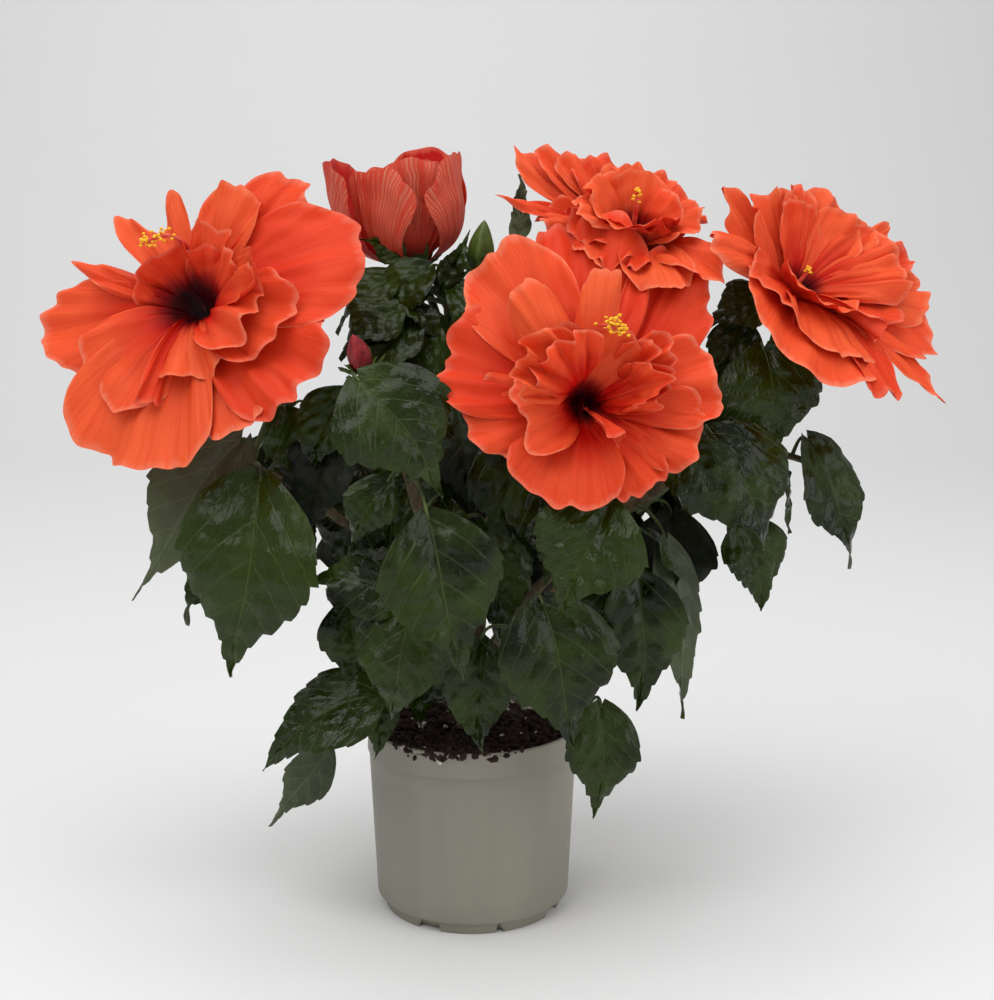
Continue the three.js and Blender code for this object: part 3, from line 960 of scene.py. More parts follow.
@dataclass
class Wood:
    """The stem, the boughs and the green stalks, each skinned with its bark's relief."""

    fork: Point = (3.0, -2.0, 152.5)
    stalk_root: float = 200.0  # the height near which the stalks start
    stem_radius: float = 6.2
    limbs: dict[str, Limb] = field(default_factory=dict)

    BOUGH = BarkRelief(40, 18, 0.22, 0.35)
    STALK = BarkRelief(26, 12, 0.08, 0.15)
    INSIDE = 6  # mm that a bough runs on into the stem
    STEM_SIDES = 40

    def read(self) -> None:
        """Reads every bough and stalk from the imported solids."""
        fork = np.array(self.fork)
        for node in sorted(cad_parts):
            if node.startswith("bough_"):
                self.limbs[node] = Limb.read(node, fork)
            elif node.startswith("stalk_"):
                self.limbs[node] = Limb.read(node, np.array([*self.fork[:2], self.stalk_root]))

    def build(self, materials: "Materials") -> None:
        """Makes the stem, one piece for the boughs and one for the stalks.

        Args:
            materials: the plant's materials.
        """
        self._build_stem(materials)
        boughs = Skin("boughs")
        stalks = Skin("stalks")
        for seed, (node, limb) in enumerate(self.limbs.items()):
            woody = node.startswith("bough_")
            bark = self.BOUGH if woody else self.STALK
            path, radii = limb.smooth_path(bark.rings)
            if woody:
                start = path[0] - unit(path[1] - path[0]) * self.INSIDE
                path, radii = np.concatenate([[start], path]), np.concatenate([[radii[0]], radii])
            rings = tube_rings(path, radii, bark.sides)
            relief = Waves(seed, 9.0)(rings * [1, 1, 0.35]) * bark.relief
            nodes = np.exp(-((np.arange(len(path)) % 9 - 4) / 0.8) ** 2) * bark.swelling
            rings = tube_rings(path, radii[:, None] * 0.94 + relief + nodes[:, None], bark.sides)
            (boughs if woody else stalks).add_tube(rings)
        woody = [node for node in self.limbs if node.startswith("bough_")]
        boughs.piece([materials.bark], woody)
        stalks.piece([materials.stalk], [n for n in self.limbs if n not in woody])

    def _build_stem(self, materials: "Materials") -> None:
        """The stem: rings round its leaning line, flared at the root and fluted by the bark.

        Args:
            materials: the plant's materials.
        """
        low, high = box_of("trunk")
        share = np.linspace(0, 1, 44)
        foot = np.array([(low[0] + high[0]) / 2, (low[1] + high[1]) / 2, low[2]])
        path = foot + share[:, None] * (np.array(self.fork) - foot)
        flare = (high[0] - low[0]) / 2
        radii = self.stem_radius + (flare - self.stem_radius) * np.exp(-share * 9)
        radii = radii + 1.2 * np.exp(-((share - 0.95) / 0.12) ** 2)
        turn = np.linspace(0, 2 * np.pi, self.STEM_SIDES, endpoint=False)
        roots = 0.16 * np.exp(-share * 7)[:, None] * np.cos(5 * turn + 1.0)[None]
        rings = tube_rings(path, radii[:, None] * (0.97 + roots), self.STEM_SIDES)
        relief = Waves(71, 7.0)(rings * [1, 1, 0.3]) * 0.3
        rings = tube_rings(path, radii[:, None] * (0.96 + roots * 0.6) + relief, self.STEM_SIDES)
        rings[0, :, 2] = low[2]
        skin = Skin("stem")
        skin.add_tube(rings)
        skin.piece([materials.bark], ["trunk"])


# -------- leaves


@dataclass(frozen=True)
class Leaf:
    """One toothed, quilted leaf, in mm from the middle of its mass.

    The midrib runs from base to tip and bows towards the side that the leaf faces. Each half rises
    from it by fold, then droops. Wave lifts and drops its margin, quilt swells the blade between
    its veins, and shade gives it painted shade: a darker colour and a duller gloss.
    """

    base: Point
    tip: Point
    facing: Point
    width: float = 0.72  # of its length
    arch: float = 0.14  # of its length
    fold: float = 14
    droop: float = 0.25  # of its half width
    wave: float = 3.0
    quilt: float = 1.3
    curl: float = 0.08  # of its length, that the tip hooks under
    lean: float = 0.0  # of its length, that the midrib bends aside
    heart: float = 0.06  # of its length, that its lobes sweep back
    shoulder: float = 0.61  # of its length, where it narrows to its tip
    teeth: int = 9
    shade: float = 0.0  # painted shade: how deep inside the plant it lies; 1 or more is darkest
    seed: int = 0

    THICKNESS = 0.45
    PAIRS = 5.5  # side veins a length
    CLIMB = (0.75, 1.1)  # how a side vein climbs with the distance from the midrib and its square
    TOOTH = (0, 0.32, 0.64, 0.94)  # where the rows of one tooth lie along it

    def blade(self, middle: Array, columns: int) -> tuple[Array, Array]:
        """The blade as a grid: along the midrib by rows, four a tooth, and across by columns.

        Args:
            middle: the middle of the mass.
            columns: points across, an odd number.

        Returns:
            The grid, and each point's place on the flat leaf in lengths, with the midrib at 0.5.
        """
        base, tip = middle + self.base, middle + self.tip
        length = np.linalg.norm(tip - base)
        forward = (tip - base) / length
        facing = unit(np.asarray(self.facing, float))
        up = unit(facing - forward * (facing @ forward))
        side = np.cross(forward, up)
        draw = np.random.default_rng(self.seed)
        phase = draw.uniform(0, 2 * np.pi, 10)
        steps = (np.arange(self.teeth)[:, None] + self.TOOTH).ravel() / self.teeth
        along = np.append(steps, 1.0)[:, None]
        across = np.linspace(-1, 1, columns)[None]
        out = np.abs(across)

        half = self._half_width(along, across, phase)
        rim = self._teeth(along) * np.sign(across) * smooth(out * 3.4 - 2.4)
        x = (half * across + rim) * length * self.width / 2
        y = (along - self.heart * out ** 1.5 * (1 - smooth(along * 3.5))) * length
        climb = np.radians(self.fold * (1.6 - 0.7 * along))
        height = np.abs(x) * np.tan(climb) - self.droop * x * x / (length * self.width / 2)
        start = np.where(across > 0, phase[0], phase[1])
        swing = np.sin(2 * np.pi * (1.5 * along + 0.25 * np.sign(across)) + start)
        height = height + self.wave * out ** 1.6 * swing * smooth(along * 4)
        far = np.abs(x) / length
        vein = (along - self.CLIMB[0] * far - self.CLIMB[1] * far * far) * self.PAIRS
        swell = 0.45 - 0.5 * np.cos(2 * np.pi * vein)
        calm = smooth(out * 6) * (1 - 0.7 * out ** 4) * smooth(along * 5) * smooth((1 - along) * 3)
        height = height + self.quilt * swell * calm
        crumple = np.sin(x / 1.9 + y / 3.4 + phase[2]) * np.sin(y / 1.7 - x / 4.1 + phase[3])
        pucker = np.sin(x / 4.3 - y / 5.2 + phase[6])
        crumple = crumple + 1.3 * pucker * np.sin(y / 4.6 + x / 6.0 + phase[7])
        height = height + 0.6 * self.quilt * crumple * smooth(out * 5) * (1 - 0.5 * out ** 4)

        bow = 4 * along * (1 - along) * self.arch - self.curl * along ** 4
        bend = self.lean * np.sin(np.pi * along) + 0.015 * np.sin(6 * along + phase[4])
        points = (
            base
            + y[..., None] * forward
            + (bow * length + height)[..., None] * up
            + (x * np.cos(climb) + bend * length)[..., None] * side
        )
        return points, np.stack([0.5 + x / length, y / length], -1)

    def _half_width(self, along: Array, across: Array, phase: Array) -> Array:
        """The half width.

        It rises to a third of the length, falls away at the shoulder, and leaves a long tip.

        Args:
            along: how far along each row lies, from 0 to 1.
            across: how far across each column lies, from -1 to 1.
            phase: drawn turns, for an uneven edge.

        Returns:
            The share of the full width at each point.
        """
        rise = 1 - np.maximum(1 - (along + 0.012) / 0.38, 0) ** 2.4
        fall = 0.7 / (1 + np.exp((along - self.shoulder) / 0.075))
        fall = fall + 0.5 * np.maximum(1 - along, 0) ** 0.8
        tip = np.sqrt(np.maximum(1 - along ** 10, 0))
        start = np.where(across > 0, phase[5], phase[4])
        return rise * fall * tip * (0.95 + 0.05 * np.sin(8 * along + start))

    def _teeth(self, along: Array) -> Array:
        """How far the teeth past the shoulder stand out, as a share of the half width.

        Args:
            along: how far along each row lies, from 0 to 1.

        Returns:
            The share at each row.
        """
        step = (along * self.teeth) % 1
        uneven = 0.7 + 0.3 * np.sin(np.floor(along * self.teeth) * 2.3 + self.seed)
        placed = smooth((along - 0.22) / 0.2) * (along < 0.97) * smooth(3.6 - 3.6 * along)
        return 0.12 * uneven * step * (1.5 - 0.5 * step) * placed


@dataclass(frozen=True)
class LeafMass:
    """A mass of foliage: the leaves that make its outline and more that fill it behind them."""

    node: str
    leaves: tuple[Leaf, ...] = ()
    fill: int = 6
    size: tuple[float, float] = (58, 84)  # the fill leaves' lengths
    push: Point = (0, 0, 0)  # mm that the fill is moved, to keep behind the leaves in front
    spread: float = 0.86
    shade: float = 0.0  # painted shade of the fill leaves
    seed: int = 0

    COLUMNS = (21, 13)  # points across a placed leaf and across a fill leaf
    GOLDEN = 0.618  # of a turn from one fill leaf to the next
    SHORTEST = 30  # mm of a fill leaf

    def all_leaves(self) -> list[tuple[Leaf, int]]:
        """Every leaf with the columns of its grid: the placed ones are finer than the fill."""
        placed, fill = self.COLUMNS
        filling = [(leaf, fill) for leaf in self._fill_leaves()]
        return [(leaf, placed) for leaf in self.leaves] + filling

    def _fill_leaves(self) -> list[Leaf]:
        """Leaves set over the mass by a seeded rule: bases up and inside, tips out and down.

        Returns:
            The leaves, apart from those that come out too short.
        """
        low, high = box_of(self.node)
        half, middle = (high - low) / 2, (high + low) / 2
        draw = np.random.default_rng(900 + self.seed)
        leaves = []
        for k in range(self.fill):
            turn = 2 * np.pi * (k * self.GOLDEN + draw.uniform(-0.05, 0.05))
            level = 0.75 - 1.25 * (k + 0.5) / self.fill
            out = np.array([np.cos(turn), np.sin(turn), 0.0])
            away = unit(np.array([middle[0], middle[1], 0]) + out * 70)
            girth = math.sqrt(max(0.05, 1 - level * level))
            base = half * (out * girth * 0.5 + [0, 0, level * 0.95])
            length = draw.uniform(*self.size)
            drop = draw.uniform(0.75, 1.5)
            forward = unit(out * draw.uniform(0.5, 0.9) + away * 0.25 - np.array([0, 0, drop]))
            tip = base + forward * length
            share = np.linalg.norm(tip / half / self.spread)
            tip = tip / max(1.0, share)
            shift = np.array(self.push)
            if np.linalg.norm(tip - base) < self.SHORTEST:
                continue
            facing = unit(out * 0.55 + away * 0.7 + [0, 0, 0.6] + draw.normal(size=3) * 0.18)
            leaves.append(Leaf(
                tuple(base + shift), tuple(tip + shift), tuple(facing),
                width=draw.uniform(0.62, 0.82), arch=draw.uniform(0.06, 0.16),
                fold=draw.uniform(6, 22), droop=draw.uniform(0.1, 0.35), wave=draw.uniform(1.5, 4),
                curl=draw.uniform(0.02, 0.14), lean=draw.uniform(-0.06, 0.06),
                shoulder=draw.uniform(0.54, 0.7), teeth=int(draw.integers(6, 9)),
                shade=self.shade, seed=int(draw.integers(1e6))))
        return leaves


@dataclass
class Foliage:
    """Every mass of leaves, and the twigs and leaf stalks that join them to the boughs."""

    masses: tuple[LeafMass, ...]
    wood: Wood

    RINGS = 18  # of a leaf stalk
    SIDES = 7

    def build(self, materials: "Materials") -> None:
        """Makes one piece for each mass and one for all the twigs and leaf stalks.

        Args:
            materials: the plant's materials.
        """
        twigs = Skin("twigs")
        shares = np.linspace(0.25, 1, 16)
        boughs = [limb for node, limb in self.wood.limbs.items() if node.startswith("bough_")]
        anchors = np.concatenate([limb.point(shares) for limb in boughs])
        for mass in self.masses:
            skin = Skin(mass.node.replace("leaves_", "foliage_"))
            middle = middle_of(mass.node)
            draw = np.random.default_rng(40 + mass.seed)
            for leaf, columns in mass.all_leaves():
                points, place = leaf.blade(middle, columns)
                # a leaf's shade lowers its tint, which the leaf finish turns into painted shade
                skin.add_sheet(points, Leaf.THICKNESS, draw.uniform(-1, 1) - leaf.shade, place)
                self._add_stalk(twigs, points, anchors)
            skin.piece([materials.leaf, materials.leaf_under], [mass.node])
        twigs.piece([materials.stalk], [])

    @classmethod
    def _add_stalk(cls, twigs: Skin, blade: Array, anchors: Array) -> None:
        """A leaf stalk: a curve from the midrib's foot back to the nearest bough that lies within.

        Args:
            twigs: the piece that it joins.
            blade: the leaf's grid.
            anchors: points on the boughs.
        """
        middle = blade.shape[1] // 2
        foot, ahead = blade[0, middle], blade[3, middle]
        back = unit(foot - ahead)
        reach = anchors - foot
        cost = np.linalg.norm(reach, axis=1) + 0.5 * np.maximum(reach[:, 2], 0)
        anchor = anchors[(cost - 0.35 * (reach @ back)).argmin()]
        span = np.linalg.norm(anchor - foot)
        pull = min(span * 0.4, 22)
        bend = anchor + (foot - anchor) * 0.25 + [0, 0, span * 0.12]
        path = bezier([anchor, bend, foot + back * pull + [0, 0, 2], foot - back * 1.5], cls.RINGS)
        radii = np.linspace(1.25, 0.75, cls.RINGS)
        radii = radii + np.linspace(1, 0, cls.RINGS) * min(span / 120, 0.8)
        radii[-3:] += 0.15
        twigs.add_tube(tube_rings(path, radii, cls.SIDES))


# -------- blooms


class Detail(Enum):
    """How finely a petal is cut: its rays' points and its rays."""

    FINE = (31, 55)
    PLAIN = (24, 37)
    SMALL = (11, 9)


@dataclass(frozen=True)
class Petal:
    """One petal, in mm and degrees, in its bloom's own frame.

    It is a fan of rays from its claw. Its middle line is a cubic curve that leaves the claw at rise
    above the bloom's plane and comes to its tip, at length and height from the throat, at fall. Cup
    curls its sides inward, and broad waves swell out to its margin.
    """

    clock: float  # the way it points, clockwise from the bloom's top as it is faced
    length: float
    spread: float  # half the fan's angle
    height: float = 24
    rise: float = 66
    fall: float = 4
    out: float = 3  # from the throat's middle to the claw
    base: float = 0  # of the claw, above the seat
    pull: float = 0.42  # how far the middle line keeps to its first and last headings
    cleft: float = 0.0  # how deep it parts into two horns
    cup: float = 12  # how far its sides curl inward
    ruffle: float = 4  # how high its broad waves are
    waves: float = 1.9  # broad waves across it
    frill: float = 1.3  # how high the fine waves of its rim are
    blunt: float = 0.3  # how much shorter its outermost rays are
    point: float = 0.0  # how much longer its middle rays are
    skew: float = 0.0  # how much longer its clockwise side is
    spin: float = 0  # turns the whole petal about its middle line
    twist: float = 0  # turns it further towards its tip
    sway: float = 0  # how far its tip is moved aside
    curl: float = 1.5  # how far its rim rolls back
    tint: float | None = None  # from -1, orange, to 1, deep red; else by chance; a given tint is partly painted light and shade
    detail: Detail = Detail.FINE
    seed: int | None = None  # else its number in the bloom

    THICKNESS = 0.5
    NARROW = 28  # the spread below which the margin is calmer
    PLEATED = 30  # the spread below which the pleats are shallower
    LINE = 80  # points of the middle line

    def grid(self, axes: Array, throat: tuple[float, float] = (0, 0), number: int = 0) -> Array:
        """The petal's points from its bloom's seat.

        Args:
            axes: the bloom's right, up and facing directions, a row each.
            throat: how far right and up the throat lies from the seat's axis.
            number: of the petal in the bloom.

        Returns:
            A grid of points, rays by columns.
        """
        rows, columns = self.detail.value
        s = np.linspace(0.0, 1, rows)[:, None]
        a = np.linspace(-1, 1, columns)[None]
        seed = number if self.seed is None else self.seed
        draw = np.random.default_rng(seed * 131 + int(abs(self.clock) * 7 + self.length * 13))
        phase = draw.uniform(0, 2 * np.pi, 9)
        share, radial, above, slope, size = self._middle_line()

        reach = 1 - self.blunt * np.abs(a) ** 3 - 0.16 * a ** 12
        reach = reach + self.point * np.exp(-((a / 0.24) ** 2))
        breadth = min(1.0, self.spread / self.NARROW)
        reach = reach + 0.024 * np.sin(4.3 * a + phase[0])
        reach = reach + 0.016 * breadth * np.sin(10 * a + phase[1])
        reach = reach + 0.009 * breadth * np.sin(19 * a + phase[2]) + self.skew * a
        reach = reach - self.cleft * np.exp(-((a / 0.42) ** 2))
        for notch in draw.uniform(-0.8, 0.8, 2):
            reach = reach - 0.035 * breadth * np.exp(-(((a - notch) / 0.07) ** 2))
        fan = np.radians(self.spread) * a * (0.82 + 0.18 * smooth(s * 1.6))
        y = reach * s * np.cos(fan)
        x = np.sin(fan) * (reach * s * size + abs(self.out))
        along, height, lift = (np.interp(y, share, line) for line in (radial, above, slope))

        turn = np.radians(self.spin + self.twist * y)
        half = size * np.sin(np.radians(min(self.spread, 80)))
        pull = np.radians(self.cup if self.cup else 0.1) / max(half, 1)
        aside = np.sin(pull * x) / pull
        inward = (1 - np.cos(pull * x)) / pull
        inward = inward + self._waves(a, s, phase)
        inward = inward - self.curl * s ** 8 * (0.75 + 0.35 * np.sin(4 * a + phase[3]))

        way = math.radians(self.clock)
        ray = math.sin(way) * axes[0] + math.cos(way) * axes[1]
        cross = math.cos(way) * axes[0] - math.sin(way) * axes[1]
        normal = -np.sin(lift)[..., None] * ray + np.cos(lift)[..., None] * axes[2]
        across = np.cos(turn)[..., None] * cross + np.sin(turn)[..., None] * normal
        inner = -np.sin(turn)[..., None] * cross + np.cos(turn)[..., None] * normal
        shear = smooth(height / 14)[..., None] * (throat[0] * axes[0] + throat[1] * axes[1])
        return (
            shear
            + along[..., None] * ray
            + (self.sway * y * y)[..., None] * cross
            + height[..., None] * axes[2]
            + aside[..., None] * across
            + inward[..., None] * inner
        )

    def _middle_line(self) -> tuple[Array, Array, Array, Array, float]:
        """The middle line: a cubic curve from the claw to the tip, run on straight past it.

        Returns:
            Each point's share of the way, distance out, height and slope, and the line's length.
        """
        start, end = np.array([self.out, self.base]), np.array([self.length, self.height])
        pull = self.pull * np.linalg.norm(end - start)
        first, last = np.radians([self.rise, self.fall])
        heading = np.array([math.cos(last), math.sin(last)])
        path = bezier([start, start + pull * np.array([math.cos(first), math.sin(first)]),
                       end - pull * heading, end], self.LINE)
        steps = np.linalg.norm(np.diff(path, axis=0), axis=1)
        share = np.concatenate([[0], np.cumsum(steps), [steps.sum() * 1.5]]) / steps.sum()
        path = np.concatenate([path, [path[-1] + heading * steps.sum() * 0.5]])
        change = np.gradient(path, axis=0)
        slope = np.unwrap(np.arctan2(change[:, 1], change[:, 0]))
        return share, path[:, 0], path[:, 1], slope, float(steps.sum())

    def _waves(self, a: Array, s: Array, phase: Array) -> Array:
        """The ruffle.

        Broad waves that swell on the way out, a slow roll, crinkles, pleats and a frill.

        Args:
            a: how far across each column lies, from -1 to 1.
            s: how far out each row lies, from 0 to 1.
            phase: drawn turns.

        Returns:
            How far each point is moved inward, in mm.
        """
        broad = 0.7 * np.sin(np.pi * self.waves * a + phase[4] + 1.4 * s)
        broad = broad + 0.3 * np.sin(np.pi * self.waves * 1.8 * a + phase[5] - 1.8 * s)
        roll = 0.22 * np.sin(7 * s + 2.2 * a + phase[8]) * s
        crinkle = np.sin(6 * a + 13 * s + phase[0]) * np.sin(9 * s - 8 * a + phase[3])
        crease = 0.6 * np.sin(15 * a - 10 * s + phase[2])
        crinkle = crinkle + crease * np.sin(17 * s + 7 * a + phase[6])
        bent = np.pi * 2.6 * a + phase[6] + 0.8 * np.sin(2.2 * a + 2 * s)
        folds = np.sqrt(np.sin(bent) ** 2 + 0.03)
        bent = np.pi * 8 * a + phase[6] + 1.5 * np.sin(3 * a + 2 * s)
        pleats = 0.2 * smooth(s * 2) * np.sin(bent)
        depth = (0.5 + 0.2 * self.ruffle) * min(1.0, self.spread / self.PLEATED) ** 2
        pleats = pleats + depth * smooth(s * 1.6) * (0.64 - folds)
        frill = s ** 5 * np.sin(np.pi * 5.2 * a + phase[7] + 1.6 * np.sin(2.3 * a + phase[1]))
        fine = 0.22 * s ** 7 * np.sin(np.pi * 11 * a + phase[4] + 2 * np.sin(3 * a + phase[5]))
        frill = self.frill * min(1.0, self.spread / self.NARROW) * (frill + fine)
        return self.ruffle * (s ** 1.9 * broad + roll) + 0.75 * s * crinkle + pleats + frill


@dataclass(frozen=True)
class Bloom:
    """An open double bloom: its petals, the column of stamens and the calyx behind it."""

    node: str
    stalk: str
    facing: Point
    petals: tuple[Petal, ...]
    throat: tuple[float, float] = (0, 0)
    column: tuple[Point, ...] = ()  # right, up and out from the seat, from its foot to its tip
    anthers: int = 44
    anther_spread: float = 5.0
    hollow: tuple[float, float] = (12, 30)  # mm: the dark throat's radius and height, own maroon deepened by painted shade
    seed: int = 0

    RINGS = 24  # of the column

    def build(self, materials: "Materials", wood: Wood) -> None:
        """Makes the petals, the stamens and the calyx.

        Args:
            materials: the plant's materials.
            wood: the limbs, for the stalk that carries the bloom.
        """
        axes = axes_of(self.facing, 2)
        seat = wood.limbs[self.stalk].path[-1] + axes[2] * 1.5
        draw = np.random.default_rng(300 + self.seed)
        petals = Skin(self.node.replace("bloom_", "petals_"))
        for number, petal in enumerate(self.petals):
            grid = petal.grid(axes, self.throat, number)
            chance = draw.uniform(-1, 1)
            tint = chance if petal.tint is None else petal.tint
            petals.add_sheet(seat + grid, Petal.THICKNESS, tint, hollow=self._depth(grid @ axes.T))
        petals.piece([materials.petal, materials.petal_back], [self.node])
        self._build_column(materials, seat, axes, draw)
        name = self.node.replace("bloom_", "calyx_")
        Calyx(length=6, radius=8.5).build(name, materials, seat - axes[2] * 2, axes)

    def _depth(self, grid: Array) -> Array:
        """How deep in the throat each point lies: 1 on its axis, half at its radius, less above.

        Args:
            grid: points in the bloom's own directions, from its seat.

        Returns:
            The depth at each point, from 0 to 1.
        """
        # the mask of the throat's own maroon and its painted shade: darkest on the axis, fading
        # above
        far = np.hypot(grid[..., 0] - self.throat[0], grid[..., 1] - self.throat[1])
        above = smooth((grid[..., 2] - self.hollow[1]) / 22)
        return np.clip(1 - far / self.hollow[0] / 2, 0, 1) * (1 - above)

    def _build_column(self, materials: "Materials", seat: Array, axes: Array,
                      draw: np.random.Generator) -> None:
        """The column.

        A tapering tube up a curve, with anthers on short threads round its upper part.

        Args:
            materials: the plant's materials.
            seat: where the bloom sits on its stalk.
            axes: its right, up and facing directions, a row each.
            draw: the bloom's random draw.
        """
        if not self.column:
            return
        points = [seat + np.asarray(point) @ axes for point in self.column]
        path = bezier(points, self.RINGS)
        skin = Skin(self.node.replace("bloom_", "stamens_"))
        skin.add_tube(tube_rings(path, np.linspace(1.7, 1.0, self.RINGS), 12))
        ball, faces = ball_mesh()
        for _ in range(self.anthers):
            spot = path[int(self.RINGS - draw.uniform(0, 2.9) ** 2)]
            way = unit(draw.normal(size=3) + axes[2] * 0.6)
            end = spot + way * draw.uniform(0.35, 1) * self.anther_spread
            skin.add_tube(tube_rings(np.linspace(spot, end, 4), np.full(4, 0.25), 5))
            skin.add(end + ball * [1.1, 0.85, 0.8], faces, slot=1)
        skin.piece([materials.column, materials.anther], [])


@dataclass(frozen=True)
class Calyx:
    """A green calyx of five pointed sepals, in a ring of narrow bracts."""

    length: float
    radius: float
    bracts: int = 7

    SEPALS = 5
    THICKNESS = 0.6

    def build(self, name: str, materials: "Materials", seat: Array, axes: Array) -> None:
        """Makes the sepals and the bracts as one piece.

        Args:
            name: the piece's name.
            materials: the plant's materials.
            seat: the top of the stalk.
            axes: right, up and facing directions, a row each.
        """
        skin = Skin(name)
        for k in range(self.SEPALS):
            sepal = Petal(72 * k + 10, self.radius * 1.5, 34, height=self.length, rise=24, fall=64,
                          out=0.8, cup=40, ruffle=0.3, frill=0, blunt=0.8, point=0.25, curl=0.8,
                          detail=Detail.SMALL, seed=k)
            skin.add_sheet(seat + sepal.grid(axes), self.THICKNESS, 0.3)
        for k in range(self.bracts):
            bract = Petal(360 / self.bracts * k + 26, self.radius * 2.1, 7,
                          height=self.length * 0.55, rise=8, fall=48, out=1.2, cup=30, ruffle=0.2,
                          frill=0, blunt=0.85, point=0.3, detail=Detail.SMALL, seed=k + 9)
            skin.add_sheet(seat + bract.grid(axes), self.THICKNESS, -0.3)
        skin.piece([materials.calyx, materials.calyx], [])


def ball_mesh() -> tuple[Array, Array]:
    """A ball of radius 1, for grains and anthers: eight faces, each cut in four and pushed out.

    Returns:
        Its points and its 32 faces, each a triangle with its last corner repeated.
    """
    points = np.array([[1, 0, 0], [0, 1, 0], [-1, 0, 0], [0, -1, 0], [0, 0, 1], [0, 0, -1]], float)
    faces = np.array([[0, 1, 4], [1, 2, 4], [2, 3, 4], [3, 0, 4],
                      [1, 0, 5], [2, 1, 5], [3, 2, 5], [0, 3, 5]])
    corners = points[faces]
    halves = (corners + np.roll(corners, -1, 1)) / 2
    a, b, c = corners.transpose(1, 0, 2)
    ab, bc, ca = halves.transpose(1, 0, 2)
    parts = [[a, ab, ca], [ab, b, bc], [ca, bc, c], [ab, bc, ca]]
    loose = np.concatenate([np.stack(part, 1) for part in parts]).reshape(-1, 3)
    points, inverse = np.unique(np.round(loose, 6), axis=0, return_inverse=True)
    faces = inverse.reshape(-1, 3)
    return unit(points), np.concatenate([faces, faces[:, 2:]], 1)


@dataclass(frozen=True)
class ClosedBud:
    """A closed bud: a ribbed spindle in its calyx, with narrow bracts."""

    node: str
    stalk: str
    facing: Point
    red: bool = False

    SIDES = 30

    def build(self, materials: "Materials", wood: Wood) -> None:
        """Makes the spindle with five ribs, and the bracts round it.

        Args:
            materials: the plant's materials.
            wood: the limbs, for the stalk that carries the bud.
        """
        axes = axes_of(self.facing, 0)
        facing = axes[2]
        low, high = box_of(self.node)
        size = high - low
        length = size @ np.abs(facing)
        radius = min(size[0], size[1]) / 2 * 0.95
        seat = wood.limbs[self.stalk].path[-1]
        t = np.linspace(0, 1, 22)
        turn = np.linspace(0, 2 * np.pi, self.SIDES, endpoint=False)
        outline = np.sin(np.pi * t ** 0.7) ** 0.75 * radius + 0.4 * (1 - t)
        ribs = 1 + 0.09 * np.cos(5 * turn[None] + 2.2 * t[:, None]) * np.sin(np.pi * t)[:, None]
        path = seat + t[:, None] * length * facing
        rings = tube_rings(path, np.maximum(outline[:, None] * ribs, 0.05), self.SIDES)
        skin = Skin(self.node)
        skin.add_tube(rings)
        skin.piece([materials.red_bud if self.red else materials.calyx], [self.node])
        name = self.node.replace("bud_", "bracts_")
        Calyx(length * 0.34, radius * 0.85).build(name, materials, seat - facing, axes)


@dataclass(frozen=True)
class OpeningBud:
    """The bud that is about to open: a goblet of petals with cream veins on their backs."""

    node: str = "bud_opening"
    stalk: str = "stalk_bud_opening"
    facing: Point = (-0.16, -0.06, 0.98)

    OUTER = 0.7  # mm: how thick the outer petals are
    INNER = 0.6

    def build(self, materials: "Materials", wood: Wood) -> None:
        """Makes the goblet's petals and its calyx.

        Args:
            materials: the plant's materials.
            wood: the limbs, for the stalk that carries the bud.
        """
        axes = axes_of(self.facing, 1)
        seat = wood.limbs[self.stalk].path[-1]
        outer = (
            Petal(-80, 43, 42, height=70, rise=6, fall=100, out=1, pull=0.5, cup=66, ruffle=1.6,
                  blunt=0.2, curl=-1, seed=1),
            Petal(10, 24, 52, height=66, rise=40, fall=86, out=1, cup=80, ruffle=2, curl=2, seed=4),
            Petal(98, 33, 42, height=60, rise=12, fall=90, out=1, pull=0.5, cup=74, ruffle=1.2,
                  blunt=0.14, seed=3),
            Petal(170, 24, 44, height=60, rise=34, fall=92, out=1, cup=84, ruffle=1.4, blunt=0.36,
                  curl=-1, seed=2),
            Petal(-122, 30, 38, height=60, rise=10, fall=96, out=1, base=-1, pull=0.5, cup=76,
                  ruffle=1.2, curl=-1, skew=-0.1, seed=5),
        )
        inner = tuple(
            Petal(k * 51 + 15, 15 - (k % 3) * 3, 44, height=60 - (k % 3) * 4, fall=90, out=1,
                  base=3, cup=70, ruffle=3.0, waves=2.2, blunt=0.35, twist=14, seed=20 + k,
                  detail=Detail.PLAIN)
            for k in range(7)
        )
        petals = Skin("petals_opening")
        draw = np.random.default_rng(11)
        for thickness, ring in ((self.OUTER, outer), (self.INNER, inner)):
            for petal in ring:
                petals.add_sheet(seat + petal.grid(axes), thickness, draw.uniform(-1, 1))
        petals.piece([materials.petal_inside, materials.bud_back], [self.node])
        Calyx(20, 9, 8).build("calyx_opening", materials, seat - axes[2] * 2, axes)


# -------- pot and soil


